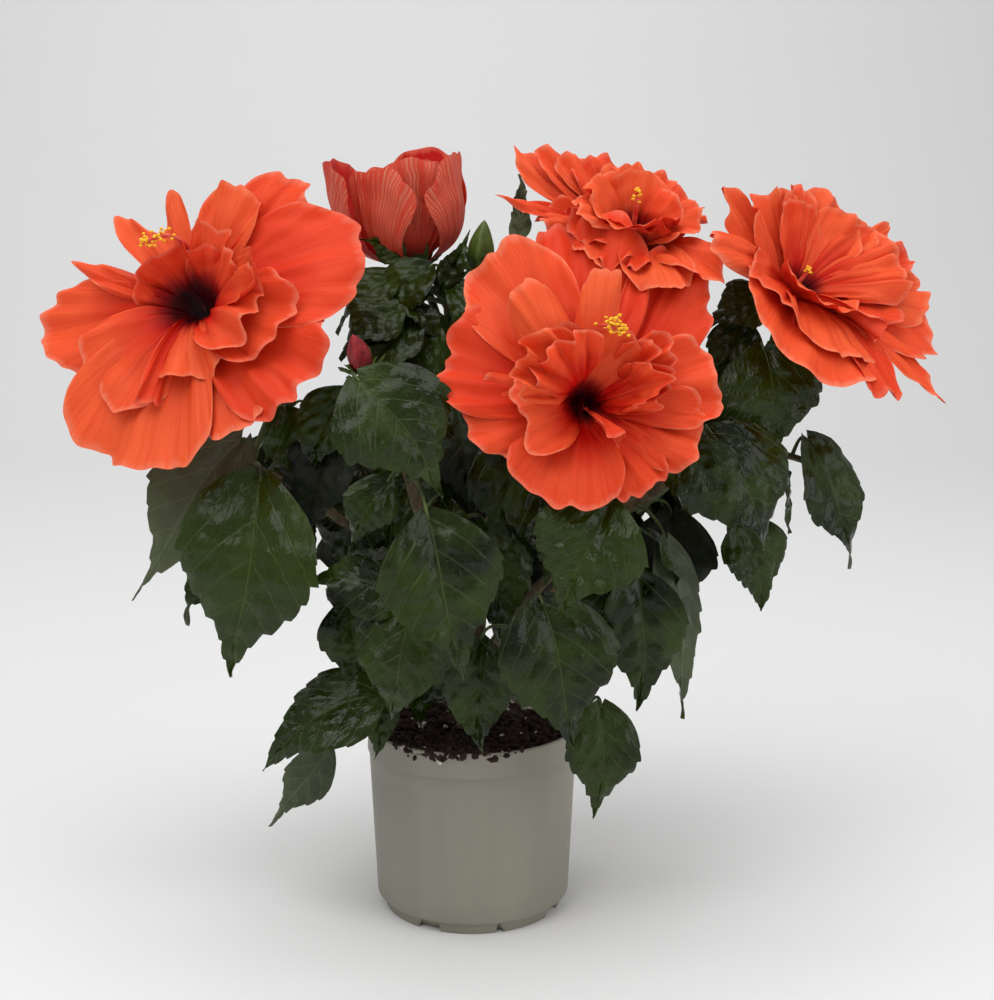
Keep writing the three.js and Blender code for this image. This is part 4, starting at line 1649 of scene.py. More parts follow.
@dataclass(frozen=True)
class Pot:
    """A moulded nursery pot: a rolled lip over a plain band, a tapering wall, a notched foot."""

    band: float = 16.0
    step: float = 1.1
    top_radius: float = 64.2
    base_radius: float = 60.0
    foot_radius: float = 55.2
    foot_height: float = 8.0
    wall: float = 1.8
    floor: float = 3.0
    notch_count: int = 8
    notch_widths: tuple[float, float] = (15.0, 5.0)
    notch_height: float = 6.0
    notch_first: float = -27.5
    sides: int = 240

    def build(self, materials: "Materials") -> None:
        """Turns the profile round the pot's axis.

        Each point is the radius times cos and sin of the turn.

        Args:
            materials: the plant's materials.
        """
        low, high = box_of("pot")
        rim, height = (high[0] - low[0]) / 2, high[2]
        band_foot = height - self.band
        profile = self._rounded([
            (0, self.floor), (self.foot_radius - 2 * self.wall, self.floor),
            (self.foot_radius - self.wall, self.foot_height + self.wall),
            (self.top_radius - self.wall, band_foot), (rim - self.wall - 0.3, height - 1.2),
            (rim - self.wall + 0.2, height - 0.3), (rim - 0.9, height), (rim - 0.25, height - 0.35),
            (rim, height - 1.1), (rim - 0.1, height - 2.1), (rim - 0.75, height - 2.7),
            (self.top_radius + self.step, band_foot + 1.0),
            (self.top_radius + self.step - 0.2, band_foot + 0.3),
            (self.top_radius + 0.1, band_foot), (self.base_radius, self.foot_height + 0.8),
            (self.base_radius - 0.5, self.foot_height + 0.1),
            (self.foot_radius + 0.4, self.foot_height - 1.2),
            (self.foot_radius, self.foot_height - 1.9), (self.foot_radius, 0.4),
            (self.foot_radius - 0.4, 0),
            (self.foot_radius - self.wall + 0.4, 0), (self.foot_radius - self.wall, 0.4),
            (self.foot_radius - self.wall, self.floor - 1.4),
            (self.foot_radius - 2 * self.wall, self.floor - 1.8), (0, self.floor - 1.8)])
        turn = np.linspace(0, 2 * np.pi, self.sides, endpoint=False)
        level = self._notched(turn)
        radius = np.repeat(profile[:, :1], self.sides, 1)
        z = np.repeat(profile[:, 1:], self.sides, 1)
        foot = (radius > self.foot_radius - self.wall - 0.01) & (radius < self.foot_radius + 0.01)
        foot &= z < self.floor
        z = np.where(foot, np.maximum(z, level[None] * (1 - z / 8)), z)
        points = np.stack([radius * np.cos(turn), radius * np.sin(turn), z], -1)
        skin = Skin("nursery_pot")
        faces = grid_faces(len(profile), self.sides, closed=True)
        skin.add(points.reshape(-1, 3), faces[:, ::-1])
        skin.piece([materials.pot], ["pot"])

    def _notched(self, turn: Array) -> Array:
        """How high the foot's edge is cut at each turn: a steep-sided arch at each notch.

        Args:
            turn: the turns, in radians.

        Returns:
            The height at each, in mm.
        """
        level = np.zeros_like(turn)
        for k in range(self.notch_count):
            middle = np.radians(self.notch_first - 90 + 360 / self.notch_count * k)
            away = np.abs((turn - middle + np.pi) % (2 * np.pi) - np.pi) * self.foot_radius
            half = self.notch_widths[k % 2] / 2
            level = np.maximum(level, self.notch_height * smooth((half - away) / 1.3))
        return level

    @staticmethod
    def _rounded(corners: list[tuple[float, float]]) -> Array:
        """The profile with extra points along its long straights, so that shading stays even.

        Args:
            corners: radius and height, from the floor's middle round to its underside.

        Returns:
            The points, a row each.
        """
        points = [np.array(corners[0], float)]
        for end in corners[1:]:
            start, end = points[-1], np.array(end, float)
            count = max(1, int(np.linalg.norm(end - start) / 12))
            points += [start + (end - start) * k / count for k in range(1, count + 1)]
        return np.array(points)


@dataclass(frozen=True)
class Soil:
    """The root ball's crumbly top with loose crumbs and specks of perlite, some over the rim."""

    crumbs: int = 1500
    specks: int = 60
    dome: float = 3.2  # mm that the top falls from its middle to its edge
    sides: int = 120
    seed: int = 5

    def build(self, materials: "Materials") -> None:
        """Makes the lumpy ball, then the crumbs and specks on it.

        Args:
            materials: the plant's materials.
        """
        low, high = box_of("soil")
        radius = (high[0] - low[0]) / 2
        waves, fine = Waves(self.seed, 22), Waves(self.seed + 1, 7)
        turn = np.linspace(0, 2 * np.pi, self.sides, endpoint=False)
        share = np.linspace(0, 1, 34)[:, None]
        top = np.stack([share * radius * np.cos(turn), share * radius * np.sin(turn),
                        0 * turn + high[2] - 0.6 - self.dome * share ** 2], -1)
        top[..., 2] += (waves(top) * 1.0 + fine(top) * 0.6) * smooth(share * 5)
        down = np.linspace(0, 1, 8)[1:, None]
        inset = radius - (radius - 50) * down ** 1.2
        side = np.stack([inset * np.cos(turn), inset * np.sin(turn),
                         0 * turn + top[-1:, :, 2] * (1 - down) + (low[2] + 1) * down], -1)
        foot = np.zeros((1, self.sides, 3)) + [0, 0, low[2] + 1]
        grid = np.concatenate([top, side, foot])
        skin = Skin("root_ball")
        skin.add(grid.reshape(-1, 3), grid_faces(len(grid), self.sides, closed=True)[:, ::-1])
        self._add_grains(skin, radius, high[2])
        skin.piece([materials.soil, materials.perlite], ["soil"])

    def _add_grains(self, skin: Skin, radius: float, top: float) -> None:
        """Scatters grains over the top by a seeded rule, and heaps some at the rim's front left.

        Args:
            skin: the piece that they join.
            radius: of the root ball's top.
            top: its height.
        """
        draw = np.random.default_rng(self.seed)
        count = self.crumbs + self.specks
        out = np.sqrt(draw.uniform(0.04, 1, count)) * (radius - 1)
        turn = draw.uniform(0, 2 * np.pi, count)
        heap = draw.uniform(size=count) < 0.34
        turn = np.where(heap, np.radians(draw.normal(-103, 17, count)), turn)
        out = np.where(heap, radius + draw.uniform(-9, 3.2, count), out)
        spot = np.stack([out * np.cos(turn), out * np.sin(turn), np.zeros(count)], -1)
        share = np.minimum(out / radius, 1)
        spot[:, 2] = top - self.dome * share ** 2 + np.where(heap, draw.uniform(0, 5.5, count), 0.4)
        spill = out > radius + 1.4
        spot[:, 2] = np.where(spill, top + draw.uniform(1.5, 5, count), spot[:, 2])
        size = draw.lognormal(0.25, 0.45, count).clip(0.6, 3.2)
        ball, faces = ball_mesh()
        stretch = draw.uniform(0.6, 1.4, (count, 1, 3)) * size[:, None, None]
        lumpy = 1 + 0.22 * draw.normal(size=(count, len(ball), 1)).clip(-1.4, 1.4)
        points = spot[:, None] + ball[None] * stretch * lumpy
        each = faces[None] + (np.arange(count) * len(ball))[:, None, None]
        slots = np.repeat((np.arange(count) >= self.crumbs).astype(int), len(faces))
        skin.add(points.reshape(-1, 3), each.reshape(-1, 4), slot=slots)


# -------- studio


@dataclass(frozen=True)
class Softbox:
    """A square soft light, in metres and watts."""

    name: str
    place: Point
    aim: Point
    size: float
    power: float

    def build(self) -> None:
        """Adds the light at its place, turned to its aim."""
        light = bpy.data.lights.new(self.name, "AREA")
        light.shape, light.size, light.energy = "SQUARE", self.size, self.power
        lamp = bpy.data.objects.new(self.name, light)
        turn = (Vector(self.aim) - Vector(self.place)).to_track_quat("-Z", "Y")
        lamp.matrix_world = Matrix.Translation(self.place) @ turn.to_matrix().to_4x4()
        bpy.context.scene.collection.objects.link(lamp)


@dataclass(frozen=True)
class Studio:
    """A pale floor that curves up behind, soft lights and the camera, in metres."""

    camera_place: Point = (0.0152, -0.900, 0.402)
    camera_pitch: float = -9.3
    lens: float = 54.0
    sensor: float = 36.0
    paper: Colour = paint(234, 234, 234)
    paper_cloud: Colour = paint(226, 227, 229)
    air: Colour = paint(240, 240, 239)
    air_strength: float = 0.52
    lights: tuple[Softbox, ...] = (
        Softbox("key", (-0.9, -1.2, 1.8), (0.0, 0.0, 0.25), 1.5, 17),
        Softbox("fill", (1.6, -1.0, 0.9), (0.0, 0.0, 0.25), 1.2, 8),
        Softbox("top", (0.1, -0.5, 2.0), (0.0, -0.5, 0.0), 1.6, 17),
        Softbox("backdrop", (-0.4, 1.6, 3.2), (-0.4, 3.6, 1.4), 2.4, 34),
    )

    BEND = 1.6  # the radius between floor and wall
    DEPTH = (-5, 2.0)  # where the flat floor starts and ends
    HALF_WIDTH = 7.0
    HEIGHT = 6
    COLUMNS = 12

    def build(self) -> None:
        """Makes the floor, the lights, the world and the camera."""
        self._build_floor()
        for light in self.lights:
            light.build()
        scene = bpy.context.scene
        scene.world = bpy.data.worlds.new("studio_air")
        scene.world.use_nodes = True
        background = scene.world.node_tree.nodes["Background"]
        background.inputs["Color"].default_value = self.air
        background.inputs["Strength"].default_value = self.air_strength
        scene.view_settings.view_transform = "Standard"
        self._add_camera()

    def _build_floor(self) -> None:
        """The floor and backdrop: a profile of floor, quarter circle and wall, carried sideways."""
        front, back = self.DEPTH
        turn = np.linspace(0, np.pi / 2, 24)
        floor = np.stack([np.linspace(front, back, 20), np.zeros(20)], -1)
        bend = self.BEND
        curve = np.stack([back + bend * np.sin(turn), bend - bend * np.cos(turn)], -1)
        wall = np.stack([np.full(8, back + bend), np.linspace(bend, self.HEIGHT, 9)[1:]], -1)
        profile = np.concatenate([floor, curve[1:], wall])
        across = np.linspace(self.HALF_WIDTH, -self.HALF_WIDTH, self.COLUMNS)
        lines = (across, profile[:, :1], profile[:, 1:])
        shape = (len(profile), self.COLUMNS)
        points = np.stack([np.broadcast_to(line, shape) for line in lines], -1)
        faces = grid_faces(len(profile), self.COLUMNS)[:, ::-1]
        mesh = bpy.data.meshes.new("studio_floor")
        mesh.from_pydata(points.reshape(-1, 3).tolist(), [], faces.tolist())
        mesh.polygons.foreach_set("use_smooth", np.full(len(mesh.polygons), True))
        wires = Wires("studio_paper")
        cloud = wires.noise(wires.place(), 2.0, 2)
        colour = wires.mix(cloud * 0.2, self.paper, self.paper_cloud)
        paper = wires.finish(Base_Color=colour, Roughness=0.75, Specular_IOR_Level=0.2)
        mesh.materials.append(paper)
        floor_object = bpy.data.objects.new("studio_floor", mesh)
        bpy.context.scene.collection.objects.link(floor_object)

    def _add_camera(self) -> None:
        """Adds the camera, level and pitched down, without depth of field."""
        lens = bpy.data.cameras.new("camera")
        lens.lens, lens.sensor_width = self.lens, self.sensor
        camera = bpy.data.objects.new("camera", lens)
        camera.location = self.camera_place
        camera.rotation_euler = (math.radians(90 + self.camera_pitch), 0, 0)
        bpy.context.scene.collection.objects.link(camera)
        bpy.context.scene.camera = camera


class Materials:
    """Every finish of the plant as a material, made once."""

    def __init__(self) -> None:
        """Makes the materials."""
        self.petal = PetalFinish().material("petal_face")
        self.petal_back = PetalBackFinish().material("petal_back")
        # a darker, deeper red copy of the petal face: painted shade for the inside of the bud's
        # goblet
        self.petal_inside = PetalFinish(
            middle=paint(150, 6, 10), limb=paint(206, 24, 22), margin=paint(240, 120, 96),
            light=paint(220, 48, 36), warm=paint(170, 10, 14), glow=0.12).material("petal_inside")
        self.bud_back = PetalBackFinish(
            ground=paint(216, 66, 44), vein=paint(243, 186, 146), base=paint(158, 20, 14),
            veins=0.72, rays=38, glow=0.12).material("bud_petal_back")
        self.leaf = UPPER_LEAF.material("leaf_upper")
        self.leaf_under = UNDER_LEAF.material("leaf_under")
        self.bark = BARK.material("bark")
        self.stalk = GREEN_STALK.material("green_stalk")
        self.calyx = CALYX.material("calyx")
        self.red_bud = RED_BUD.material("red_bud")
        self.column = COLUMN.material("stamen_column")
        self.anther = ANTHER.material("anther")
        self.soil = SOIL.material("peat")
        self.perlite = PERLITE.material("perlite")
        self.pot = PotFinish().material("pot_plastic")


# -------- the plant's own leaves and petals

LARGE = (64, 92)  # mm: how long the fill leaves of the heart and the back are

MASSES = (
    LeafMass("leaves_left_outer", (
        Leaf((25, -20, 45), (2, -20, -70), (-0.25, -1, 0.3), 0.78, arch=0.12, droop=0.3, lean=-0.05,
             teeth=10, seed=1),
        Leaf((9, 10, 63), (-51, 10, -32), (0.5, 0.8, -0.3), 0.62, arch=-0.1, fold=10, seed=2),
        Leaf((-2, 20, -8), (-32, 20, -46), (-0.6, -0.5, 0.5), 0.6, arch=0.1, seed=3),
        Leaf((36, -10, 83), (44, -10, 41), (0.1, -1, 0.5), 0.9, arch=0.16, quilt=1.6, fold=20,
             seed=4),
    ), fill=4, push=(8, 14, 4), shade=1.1, seed=1),
    LeafMass("leaves_left_low", (
        Leaf((38, -18, 37), (-34, -18, -7), (-0.2, -0.9, 0.75), 0.62, arch=0.12, fold=10, lean=0.04,
             seed=5),
        Leaf((4, 12, -6), (-30, 12, -54), (0.4, 0.9, -0.2), 0.5, arch=-0.08, fold=12, seed=6),
    ), fill=2, push=(12, 12, 10), shade=1.1, seed=2),
    LeafMass("leaves_left_inner", (
        Leaf((-17, -21, 45), (28, -21, -17), (0.1, -1, 0.55), 0.88, arch=0.12, fold=10, droop=0.3,
             quilt=1.5, seed=7),
        Leaf((-4, -1, -11), (-27, -1, -49), (-0.1, -1, 0.3), 0.7, arch=0.1, seed=8),
        Leaf((-38, 30, 8), (-52, 30, -48), (-0.2, -1, 0.3), 0.8, shade=1.2, seed=50),
        Leaf((-30, 26, 34), (-50, 26, -14), (-0.2, -1, 0.3), 0.75, shade=1.2, seed=51),
    ), fill=3, push=(-4, 14, 0), shade=1.1, seed=3),
    LeafMass("leaves_front_left", (
        Leaf((9, -28, 59), (29, -28, -31), (0.15, -1, 0.3), 0.72, arch=0.1, fold=12, seed=9),
        Leaf((2, 4, 15), (-60, 4, 18), (-0.1, -1, 0.55), 0.7, fold=6, quilt=0.7, seed=10),
        Leaf((2, -8, 8), (-13, -8, -60), (-0.1, -1, 0.25), 0.82, arch=0.18, fold=4, droop=0.5,
             curl=0.14, seed=11),
        Leaf((7, -3, 9), (16, -3, -29), (0.2, -1, 0.2), 0.55, arch=0.1, seed=12),
        Leaf((-38, 42, -2), (-32, 42, -61), (0.1, -1, 0.2), 0.7, arch=0.1, seed=13),
        # painted shade: a dark leaf set into a gap where only shade shows
        Leaf((6, 70, -26), (0, 66, -86), (-0.1, -1, 0.2), 0.85, arch=0.1, shade=1.2, seed=66),
        Leaf((22, 62, 110), (34, 50, 44), (0.0, -1, 0.35), 0.75, quilt=1.4, shade=0.8, seed=39),
        Leaf((46, 56, 88), (60, 44, 22), (0.2, -1, 0.3), 0.72, arch=0.12, shade=0.8, seed=40),
        Leaf((14, 50, 56), (8, 42, -14), (-0.2, -1, 0.3), 0.7, shade=0.8, seed=41),
        Leaf((40, 48, 42), (48, 40, -30), (0.1, -1, 0.2), 0.7, arch=0.12, shade=0.8, seed=42),
        Leaf((2, 66, 84), (-18, 54, 26), (-0.2, -1, 0.35), 0.72, shade=0.8, seed=43),
        Leaf((70, 52, 74), (76, 44, 6), (0.2, -1, 0.25), 0.7, shade=0.8, seed=44),
    ), fill=3, push=(0, 18, 0), shade=1.1, seed=4),
    LeafMass("leaves_front_low", (
        Leaf((-30, -14, 25), (-30, -14, -42), (-0.1, -1, 0.3), 0.62, arch=0.12, fold=16, seed=14),
        Leaf((3, -19, 48), (23, -19, -38), (0.15, -1, 0.35), 0.78, arch=0.1, fold=10, quilt=1.2,
             teeth=10, seed=15),
    ), fill=4, push=(0, 14, 4), shade=1.1, seed=5),
    LeafMass("leaves_front_right", (
        Leaf((-8, -40, 65), (-34, -40, 2), (0.0, -1, 0.45), 0.95, droop=0.3, quilt=1.7, seed=16),
        Leaf((13, -5, 18), (14, -5, -62), (0.1, -1, 0.2), 0.66, arch=0.08, seed=17),
        Leaf((30, 20, 32), (35, 20, -71), (-0.75, 0.65, -0.1), 0.5, arch=-0.08, fold=12, seed=18),
    ), fill=3, push=(0, 16, 6), shade=1.1, seed=6),
    LeafMass("leaves_right_low", (
        Leaf((4, -14, 34), (1, -14, -35), (0.15, -1, 0.2), 0.64, arch=0.1, fold=10, seed=19),
    ), fill=1, push=(-6, 10, 8), shade=1.1, seed=7),
    LeafMass("leaves_right_outer", (
        Leaf((-27, -30, 42), (-9, -30, 0), (-0.1, -1, 0.4), 1.0, quilt=1.6, seed=20),
        Leaf((-15, -20, 47), (20, -20, -19), (0.2, -0.9, 0.5), 0.95, fold=10, droop=0.35, seed=21),
        Leaf((8, 10, -7), (24, 10, -61), (0.3, -0.9, 0.3), 0.8, arch=0.1, seed=22),
    ), fill=4, push=(0, 14, 0), shade=1.1, seed=8),
    LeafMass("leaves_right_tip", (
        Leaf((-12, 0, 39), (22, 0, -39), (0.4, -0.8, 0.45), 0.55, arch=0.12, fold=12, lean=0.05,
             seed=23),
    ), fill=0, seed=9),
    LeafMass("leaves_right_upper", (
        Leaf((-7, -20, 19), (0, -20, -46), (0.1, -0.9, 0.55), 1.0, arch=0.16, fold=8, droop=0.3,
             quilt=1.5, seed=24),
        Leaf((-2, -4, 47), (-40, -8, 28), (-0.1, -0.9, 0.5), 0.75, seed=45),
        Leaf((-15, -6, 32), (-32, -12, -12), (-0.1, -1, 0.3), 0.7, seed=46),
        Leaf((-24, 2, -2), (-38, -4, -50), (-0.1, -1, 0.3), 0.7, seed=47),
    ), fill=3, push=(0, 8, 0), shade=1.1, seed=10),
    LeafMass("leaves_crown", (
        Leaf((-25, -10, 31), (-50, -12, 42), (-0.3, -0.9, 0.4), 0.7, arch=0.1, seed=30),
        Leaf((-10, -14, 25), (-42, -20, -14), (-0.3, -0.9, 0.5), 0.72, arch=0.16, quilt=1.4,
             seed=31),
        Leaf((-4, -14, 10), (14, -16, 46), (0.1, -1, 0.2), 0.4, seed=32),
        Leaf((-29, -24, 5), (2, -27, -20), (0.1, -0.7, 0.75), 0.5, seed=33),
        Leaf((2, -16, 12), (38, -22, -18), (0.2, -0.9, 0.5), 0.7, seed=34),
        Leaf((-28, -14, 18), (-66, -18, -12), (-0.4, -0.8, 0.5), 0.7, arch=0.16, seed=35),
        Leaf((-12, -18, -6), (-24, -30, -62), (-0.2, -0.9, 0.4), 0.7, arch=0.1, quilt=1.4, seed=36),
        Leaf((-26, -28, 2), (-62, -36, -26), (-0.3, -0.9, 0.5), 0.75, seed=48),
        Leaf((-18, -24, -4), (-48, -36, -46), (-0.3, -0.9, 0.4), 0.7, seed=49),
        Leaf((4, -14, -6), (0, -26, -64), (0.1, -1, 0.3), 0.68, seed=37),
        Leaf((40, 16, 40), (43, 16, 79), (0.5, 0.8, -0.2), 0.42, arch=0.1, seed=38),
    ), fill=16, shade=0.6, seed=11),
    LeafMass("leaves_left_heart", (
        # painted shade: dark leaves at the heart, where the plant shows only deep shade
        Leaf((14, -26, 28), (4, -30, -42), (-0.2, -1, 0.3), 0.85, shade=1.2, seed=52),
        Leaf((32, -22, 8), (26, -26, -58), (0.1, -1, 0.25), 0.8, shade=1.2, seed=53),
        Leaf((44, -20, 48), (52, -28, -22), (0.1, -1, 0.3), 0.75, shade=1.2, seed=54),
        Leaf((70, -14, 46), (78, -20, -28), (0.1, -1, 0.3), 0.8, arch=0.12, shade=1.2, seed=55),
        Leaf((-30, 0, 32), (-48, -6, -42), (-1, 0.1, 0.3), 0.82, seed=59),
        Leaf((-26, 36, 22), (-44, 44, -48), (-1, 0.3, 0.3), 0.8, seed=60),
        Leaf((8, 12, -22), (0, 18, -88), (-1, 0.1, 0.2), 0.78, arch=0.12, seed=61),
        Leaf((4, 44, -4), (-6, 56, -72), (-1, 0.4, 0.2), 0.78, arch=0.12, seed=62),
    ), fill=15, size=LARGE, spread=0.95, shade=1.0, seed=12),
    LeafMass("leaves_right_heart", (
        # painted shade: dark leaves at the heart, where the plant shows only deep shade
        Leaf((-50, -26, 18), (-58, -30, -54), (0.0, -1, 0.3), 0.8, shade=1.2, seed=56),
        Leaf((-12, -24, -14), (-22, -28, -80), (0.1, -1, 0.25), 0.78, arch=0.12, shade=1.2,
             seed=57),
        Leaf((26, -22, 10), (22, -26, -60), (0.2, -1, 0.3), 0.8, shade=1.2, seed=58),
        Leaf((10, 4, 34), (26, 0, -40), (1, 0.1, 0.3), 0.82, seed=63),
        Leaf((12, 38, 24), (24, 46, -48), (1, 0.3, 0.3), 0.8, seed=64),
        Leaf((-6, 12, -22), (4, 20, -84), (1, 0.1, 0.2), 0.78, arch=0.12, seed=65),
    ), fill=15, size=LARGE, spread=1.05, shade=1.0, seed=13),
    LeafMass("leaves_back_top", (), fill=16, size=LARGE, spread=1.15, seed=14),
    LeafMass("leaves_back_left", (), fill=18, size=LARGE, spread=1.05, seed=15),
    LeafMass("leaves_back_right", (), fill=18, size=LARGE, spread=1.12, seed=16),
    LeafMass("leaves_back", (), fill=20, size=LARGE, spread=1.2, seed=17),
    LeafMass("leaves_back_low_left", (), fill=13, size=LARGE, spread=1.05, seed=18),
    LeafMass("leaves_back_low_right", (), fill=13, size=LARGE, spread=1.05, seed=19),
)

BLOOM_LEFT = Bloom(
    "bloom_left", "stalk_left", (-0.3, -0.82, 0.44), throat=(-9, 16), hollow=(20, 16), seed=1,
    petals=(
        Petal(-103, 94, 23, height=22, point=0.05, waves=1.6),
        Petal(-167, 101, 36, height=22, fall=-6),
        Petal(150, 86, 24, height=22),
        Petal(119, 95, 28, ruffle=5, waves=2.6),
        Petal(71, 102, 30, height=22, fall=-4),
        Petal(34, 90, 21, ruffle=5),
        Petal(19, 70, 21, height=34, rise=74, fall=20, cup=36),
        Petal(-35, 51, 26, height=26, rise=74, fall=30),
        Petal(-33, 70, 20, height=42, rise=78, fall=36, cleft=0.34, blunt=0.1, skew=-0.02, cup=50,
              ruffle=2.5, waves=2.6),
        Petal(-81, 66, 9, height=32, rise=76, fall=20, point=0.2, curl=4, sway=6,
              detail=Detail.PLAIN),
        Petal(-12, 27, 60, height=42, rise=80, fall=70, cup=40, ruffle=6, waves=3.4, blunt=0.2,
              frill=2, tint=0.8),
        Petal(30, 40, 30, height=46, rise=74, fall=50, base=4, cup=30, waves=2.4),
        Petal(82, 54, 20, height=56, rise=50, fall=84, base=24, out=22, point=0.25, cup=50,
              ruffle=2, tint=-1, detail=Detail.PLAIN),
        Petal(106, 54, 34, height=46, fall=20, base=12, out=8, ruffle=7, waves=2.6,
              detail=Detail.PLAIN),
        Petal(104, 69, 30, height=36, rise=72, fall=6, base=3, ruffle=5, waves=2.4),
        Petal(159, 51, 30, height=38, rise=80, fall=20, base=4, ruffle=6, curl=4),
        Petal(-176, 66, 10, height=34, rise=80, fall=6, base=4, spin=60, ruffle=3,
              detail=Detail.PLAIN),
        Petal(-145, 72, 34, height=30, rise=76, fall=0, base=3),
    ),
    column=((-9, 18, 8), (-12, 54, 24), (-18, 52, 46), (-23, 37, 56)),
    anthers=40, anther_spread=5.5,
)

BLOOM_CENTRE = Bloom(
    "bloom_centre", "stalk_centre", (0.02, -0.93, 0.34), throat=(0, -22), hollow=(8, 26), seed=2,
    petals=(
        Petal(-164, 58, 42, ruffle=3, waves=2.4, cup=6),
        Petal(-101, 62, 30, height=22),
        Petal(-67, 80, 31, height=22, ruffle=5),
        Petal(-30, 95, 26, height=22, ruffle=5),
        # painted shade: these upper petals lie in the top bloom's shade, so they are tinted deep
        # red
        Petal(5, 90, 30, height=0, rise=54, fall=-14, ruffle=5, tint=1),
        Petal(48, 88, 26, height=-4, rise=50, fall=-16, ruffle=6, tint=1),
        Petal(80, 74, 26, height=20, ruffle=6, waves=2.6),
        Petal(108, 66, 26, height=20, ruffle=5),
        Petal(144, 59, 22, height=20),
        # painted light: the two domes are tinted lighter so that they stand out as lit
        Petal(-29, 64, 22, height=46, rise=80, fall=16, base=4, cup=-110, ruffle=2.5, curl=6,
              blunt=0.5, tint=-0.8),
        Petal(9, 62, 17, height=52, rise=82, fall=24, base=6, cup=-120, ruffle=2, curl=5, blunt=0.5,
              tint=-1),
        Petal(-62, 38, 34, height=56, rise=80, fall=20, base=26, out=8, ruffle=9, waves=4,
              frill=2.6, tint=-0.6),
        Petal(-40, 26, 40, height=61, rise=82, fall=30, base=28, out=6, ruffle=8, waves=4,
              frill=2.6, tint=0.4),
        Petal(16, 31, 56, height=50, rise=84, fall=64, base=8, cup=-40, ruffle=2.5, tint=-0.7),
        Petal(-112, 41, 36, height=34, rise=80, fall=10, base=3, point=-0.16, ruffle=3),
        Petal(74, 42, 30, height=46, rise=84, fall=60, base=10, out=8, cup=60, ruffle=6, frill=2,
              waves=3, tint=0.5),
        Petal(84, 36, 26, height=50, rise=80, fall=80, base=18, out=20, cup=80, ruffle=5, frill=2,
              tint=-0.3),
        Petal(60, 50, 17, height=42, rise=76, fall=40, base=6, ruffle=6, waves=3, curl=3),
        Petal(146, 31, 14, height=36, rise=84, fall=20, base=4, spin=80, detail=Detail.PLAIN),
    ),
    column=((2, -16, 8), (2, 18, 24), (12, 16, 48), (16, 5, 60)),
    anthers=60, anther_spread=6.5,
)

BLOOM_TOP = Bloom(
    "bloom_top", "stalk_top", (0.08, -0.6, 0.8), throat=(14, -6), hollow=(9, 24), seed=3,
    petals=(
        Petal(-42, 84, 12, height=32, fall=34, point=0.06),
        Petal(-37, 75, 11, height=36, fall=34),
        Petal(-74, 66, 8, height=28, fall=10, point=0.2, ruffle=2),
        Petal(-31, 62, 13, height=38, rise=70, fall=34),
        Petal(-20, 54, 20, height=38, rise=72, fall=36),
        Petal(-2, 44, 20, height=38, rise=74, fall=36),
        Petal(30, 40, 24, height=36, rise=74, fall=30, ruffle=5),
        Petal(56, 38, 24, height=34, rise=72, fall=20),
        Petal(82, 40, 22, height=32, fall=12),
        Petal(106, 37, 27, height=37, rise=78, fall=20, cup=24),
        Petal(137, 57, 24, height=26, fall=-12, point=0.08),
        Petal(171, 57, 27, height=26, fall=-8),
        Petal(-161, 45, 25, height=27, fall=-4),
        Petal(-138, 46, 24, height=29, fall=0),
        Petal(-108, 40, 28, height=33, fall=6),
        Petal(-82, 53, 20, height=27, fall=0),
        Petal(-143, 27, 48, height=45, rise=84, fall=40, base=4, cup=60, curl=2, ruffle=3),
        Petal(-103, 36, 22, height=46, rise=80, fall=30, base=5, cup=50, curl=6, ruffle=2,
              detail=Detail.PLAIN),
        Petal(172, 24, 44, height=42, rise=84, fall=40, base=4, cup=50, ruffle=3),
        Petal(-62, 28, 36, height=47, rise=84, fall=50, base=5, cup=40, curl=3,
              detail=Detail.PLAIN),
        Petal(0, 24, 40, height=46, rise=86, fall=60, base=5, cup=40, detail=Detail.PLAIN),
        Petal(60, 24, 36, height=42, rise=86, fall=50, base=5, cup=30, detail=Detail.PLAIN),
    ),
    column=((14, -6, 14), (14, -7, 30), (13, -9, 42), (12, -9, 50)), anthers=16, anther_spread=3.0,
)

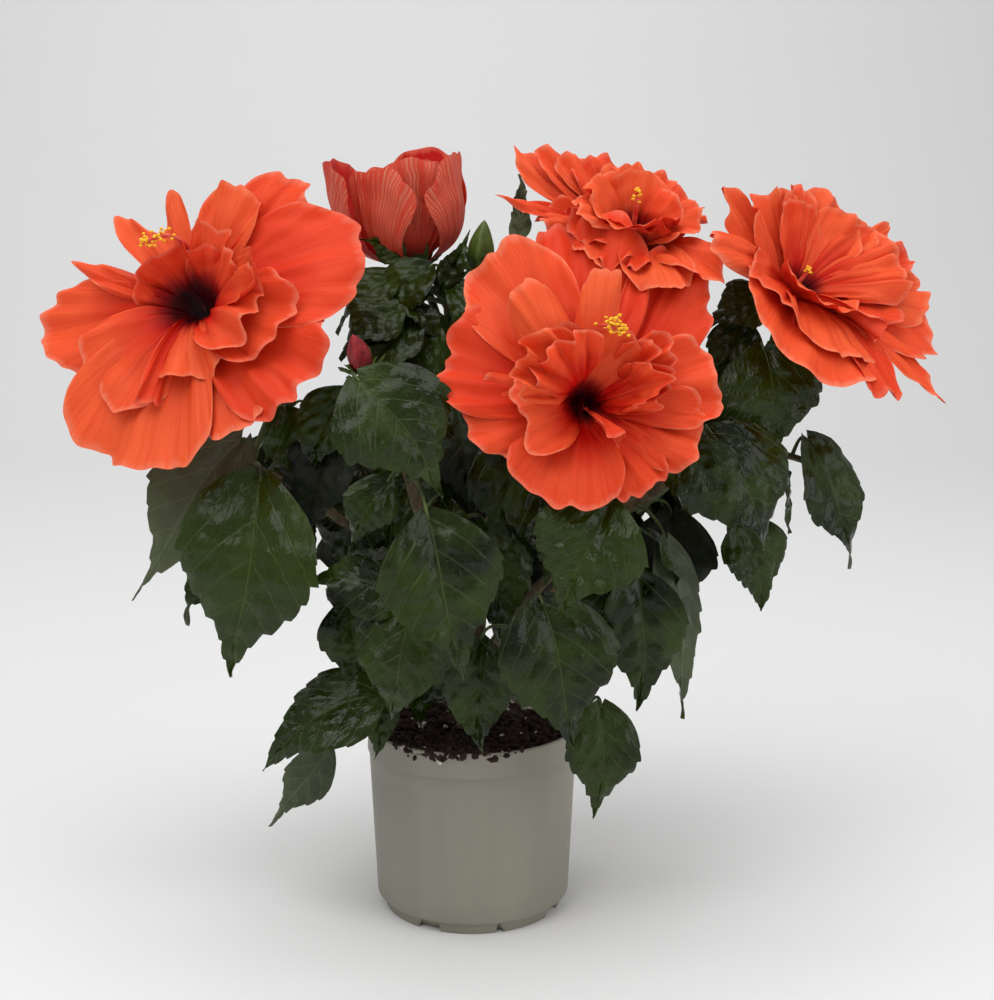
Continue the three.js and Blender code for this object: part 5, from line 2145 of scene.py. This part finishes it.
BLOOM_RIGHT = Bloom(
    "bloom_right", "stalk_right", (0.52, -0.56, 0.64), throat=(-8, 10), hollow=(9, 20), seed=4,
    petals=(
        Petal(-128, 74, 50, height=26, fall=-2, ruffle=2.5, waves=1.3, skew=-0.17, blunt=0.24),
        Petal(178, 86, 14, height=30, fall=0),
        Petal(156, 93, 7, height=34, fall=2, point=0.1, ruffle=2),
        Petal(133, 82, 22, height=37, fall=10, point=0.06, skew=0.08),
        Petal(108, 81, 22, height=44, fall=20),
        Petal(91, 74, 13, height=50, rise=70, fall=30, ruffle=5),
        Petal(74, 76, 6, height=50, rise=70, fall=34, cup=60, ruffle=2),
        Petal(38, 58, 21, height=48, rise=74, fall=40),
        Petal(16, 54, 15, height=47, rise=74, fall=42),
        Petal(-4, 53, 14, height=46, rise=74, fall=42),
        Petal(-31, 54, 18, height=42, rise=72, fall=34),
        Petal(-35, 70, 14, height=36, rise=68, fall=24),
        Petal(-68, 72, 14, height=34, fall=10, curl=9, ruffle=2),
        Petal(-140, 36, 46, height=42, rise=82, fall=46, base=5, cup=66, ruffle=2, curl=2),
        Petal(166, 52, 12, height=40, rise=78, fall=20, base=5, spin=60),
        Petal(90, 58, 24, height=55, rise=76, fall=34, base=8, ruffle=6, curl=5, waves=2.8,
              detail=Detail.PLAIN),
        Petal(106, 54, 22, height=53, rise=76, fall=34, base=8, ruffle=6, curl=5, waves=2.8,
              detail=Detail.PLAIN),
        Petal(8, 40, 24, height=50, rise=84, fall=66, base=5),
        Petal(-160, 62, 40, height=32, rise=78, base=2, seed=21),
        Petal(-100, 56, 30, height=34, rise=78, fall=16, base=2, seed=22),
        Petal(52, 44, 24, height=52, rise=82, fall=60, base=5, ruffle=5, seed=18),
        Petal(70, 54, 18, height=50, rise=80, fall=46, base=5, ruffle=5, seed=19),
        Petal(124, 60, 26, height=42, rise=76, fall=24, base=4, seed=20),
    ),
    column=((-8, 10, 6), (-8, 12, 16), (-7, 14, 24), (-6, 15, 30)), anthers=8, anther_spread=2.5,
)

BLOOM_BACK = Bloom(
    "bloom_back", "stalk_back", (0.2, 0.88, 0.42), seed=5,
    petals=tuple(
        Petal(72 * k + 12, 62, 38, height=22) for k in range(5)
    ) + tuple(
        Petal(51 * k + 30, 46 - 3 * (k % 3), 28, height=32 + 4 * (k % 3), rise=80,
              fall=28 + 6 * (k % 3), base=3, ruffle=5, waves=2.4, detail=Detail.PLAIN, seed=10 + k)
        for k in range(7)
    ),
    column=((0, 0, 12), (1, 0, 30), (3, -2, 42), (5, -4, 50)), anthers=30,
)


def main() -> None:
    """Builds the whole scene in order."""
    logging.basicConfig(level=logging.INFO, format="%(message)s")
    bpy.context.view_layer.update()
    materials = Materials()
    Studio().build()
    Pot().build(materials)
    Soil().build(materials)
    wood = Wood()
    wood.read()
    wood.build(materials)
    Foliage(MASSES, wood).build(materials)
    for bloom in (BLOOM_LEFT, BLOOM_CENTRE, BLOOM_TOP, BLOOM_RIGHT, BLOOM_BACK):
        bloom.build(materials, wood)
    OpeningBud().build(materials, wood)
    ClosedBud("bud_green", "stalk_bud_green", (0.1, -0.1, 0.98)).build(materials, wood)
    ClosedBud("bud_red", "stalk_bud_red", (-0.2, -0.5, 0.8), red=True).build(materials, wood)
    ClosedBud("bud_back", "stalk_bud_back", (0.3, 0.4, 0.86)).build(materials, wood)
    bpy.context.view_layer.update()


if __name__ == "__main__":
    main()
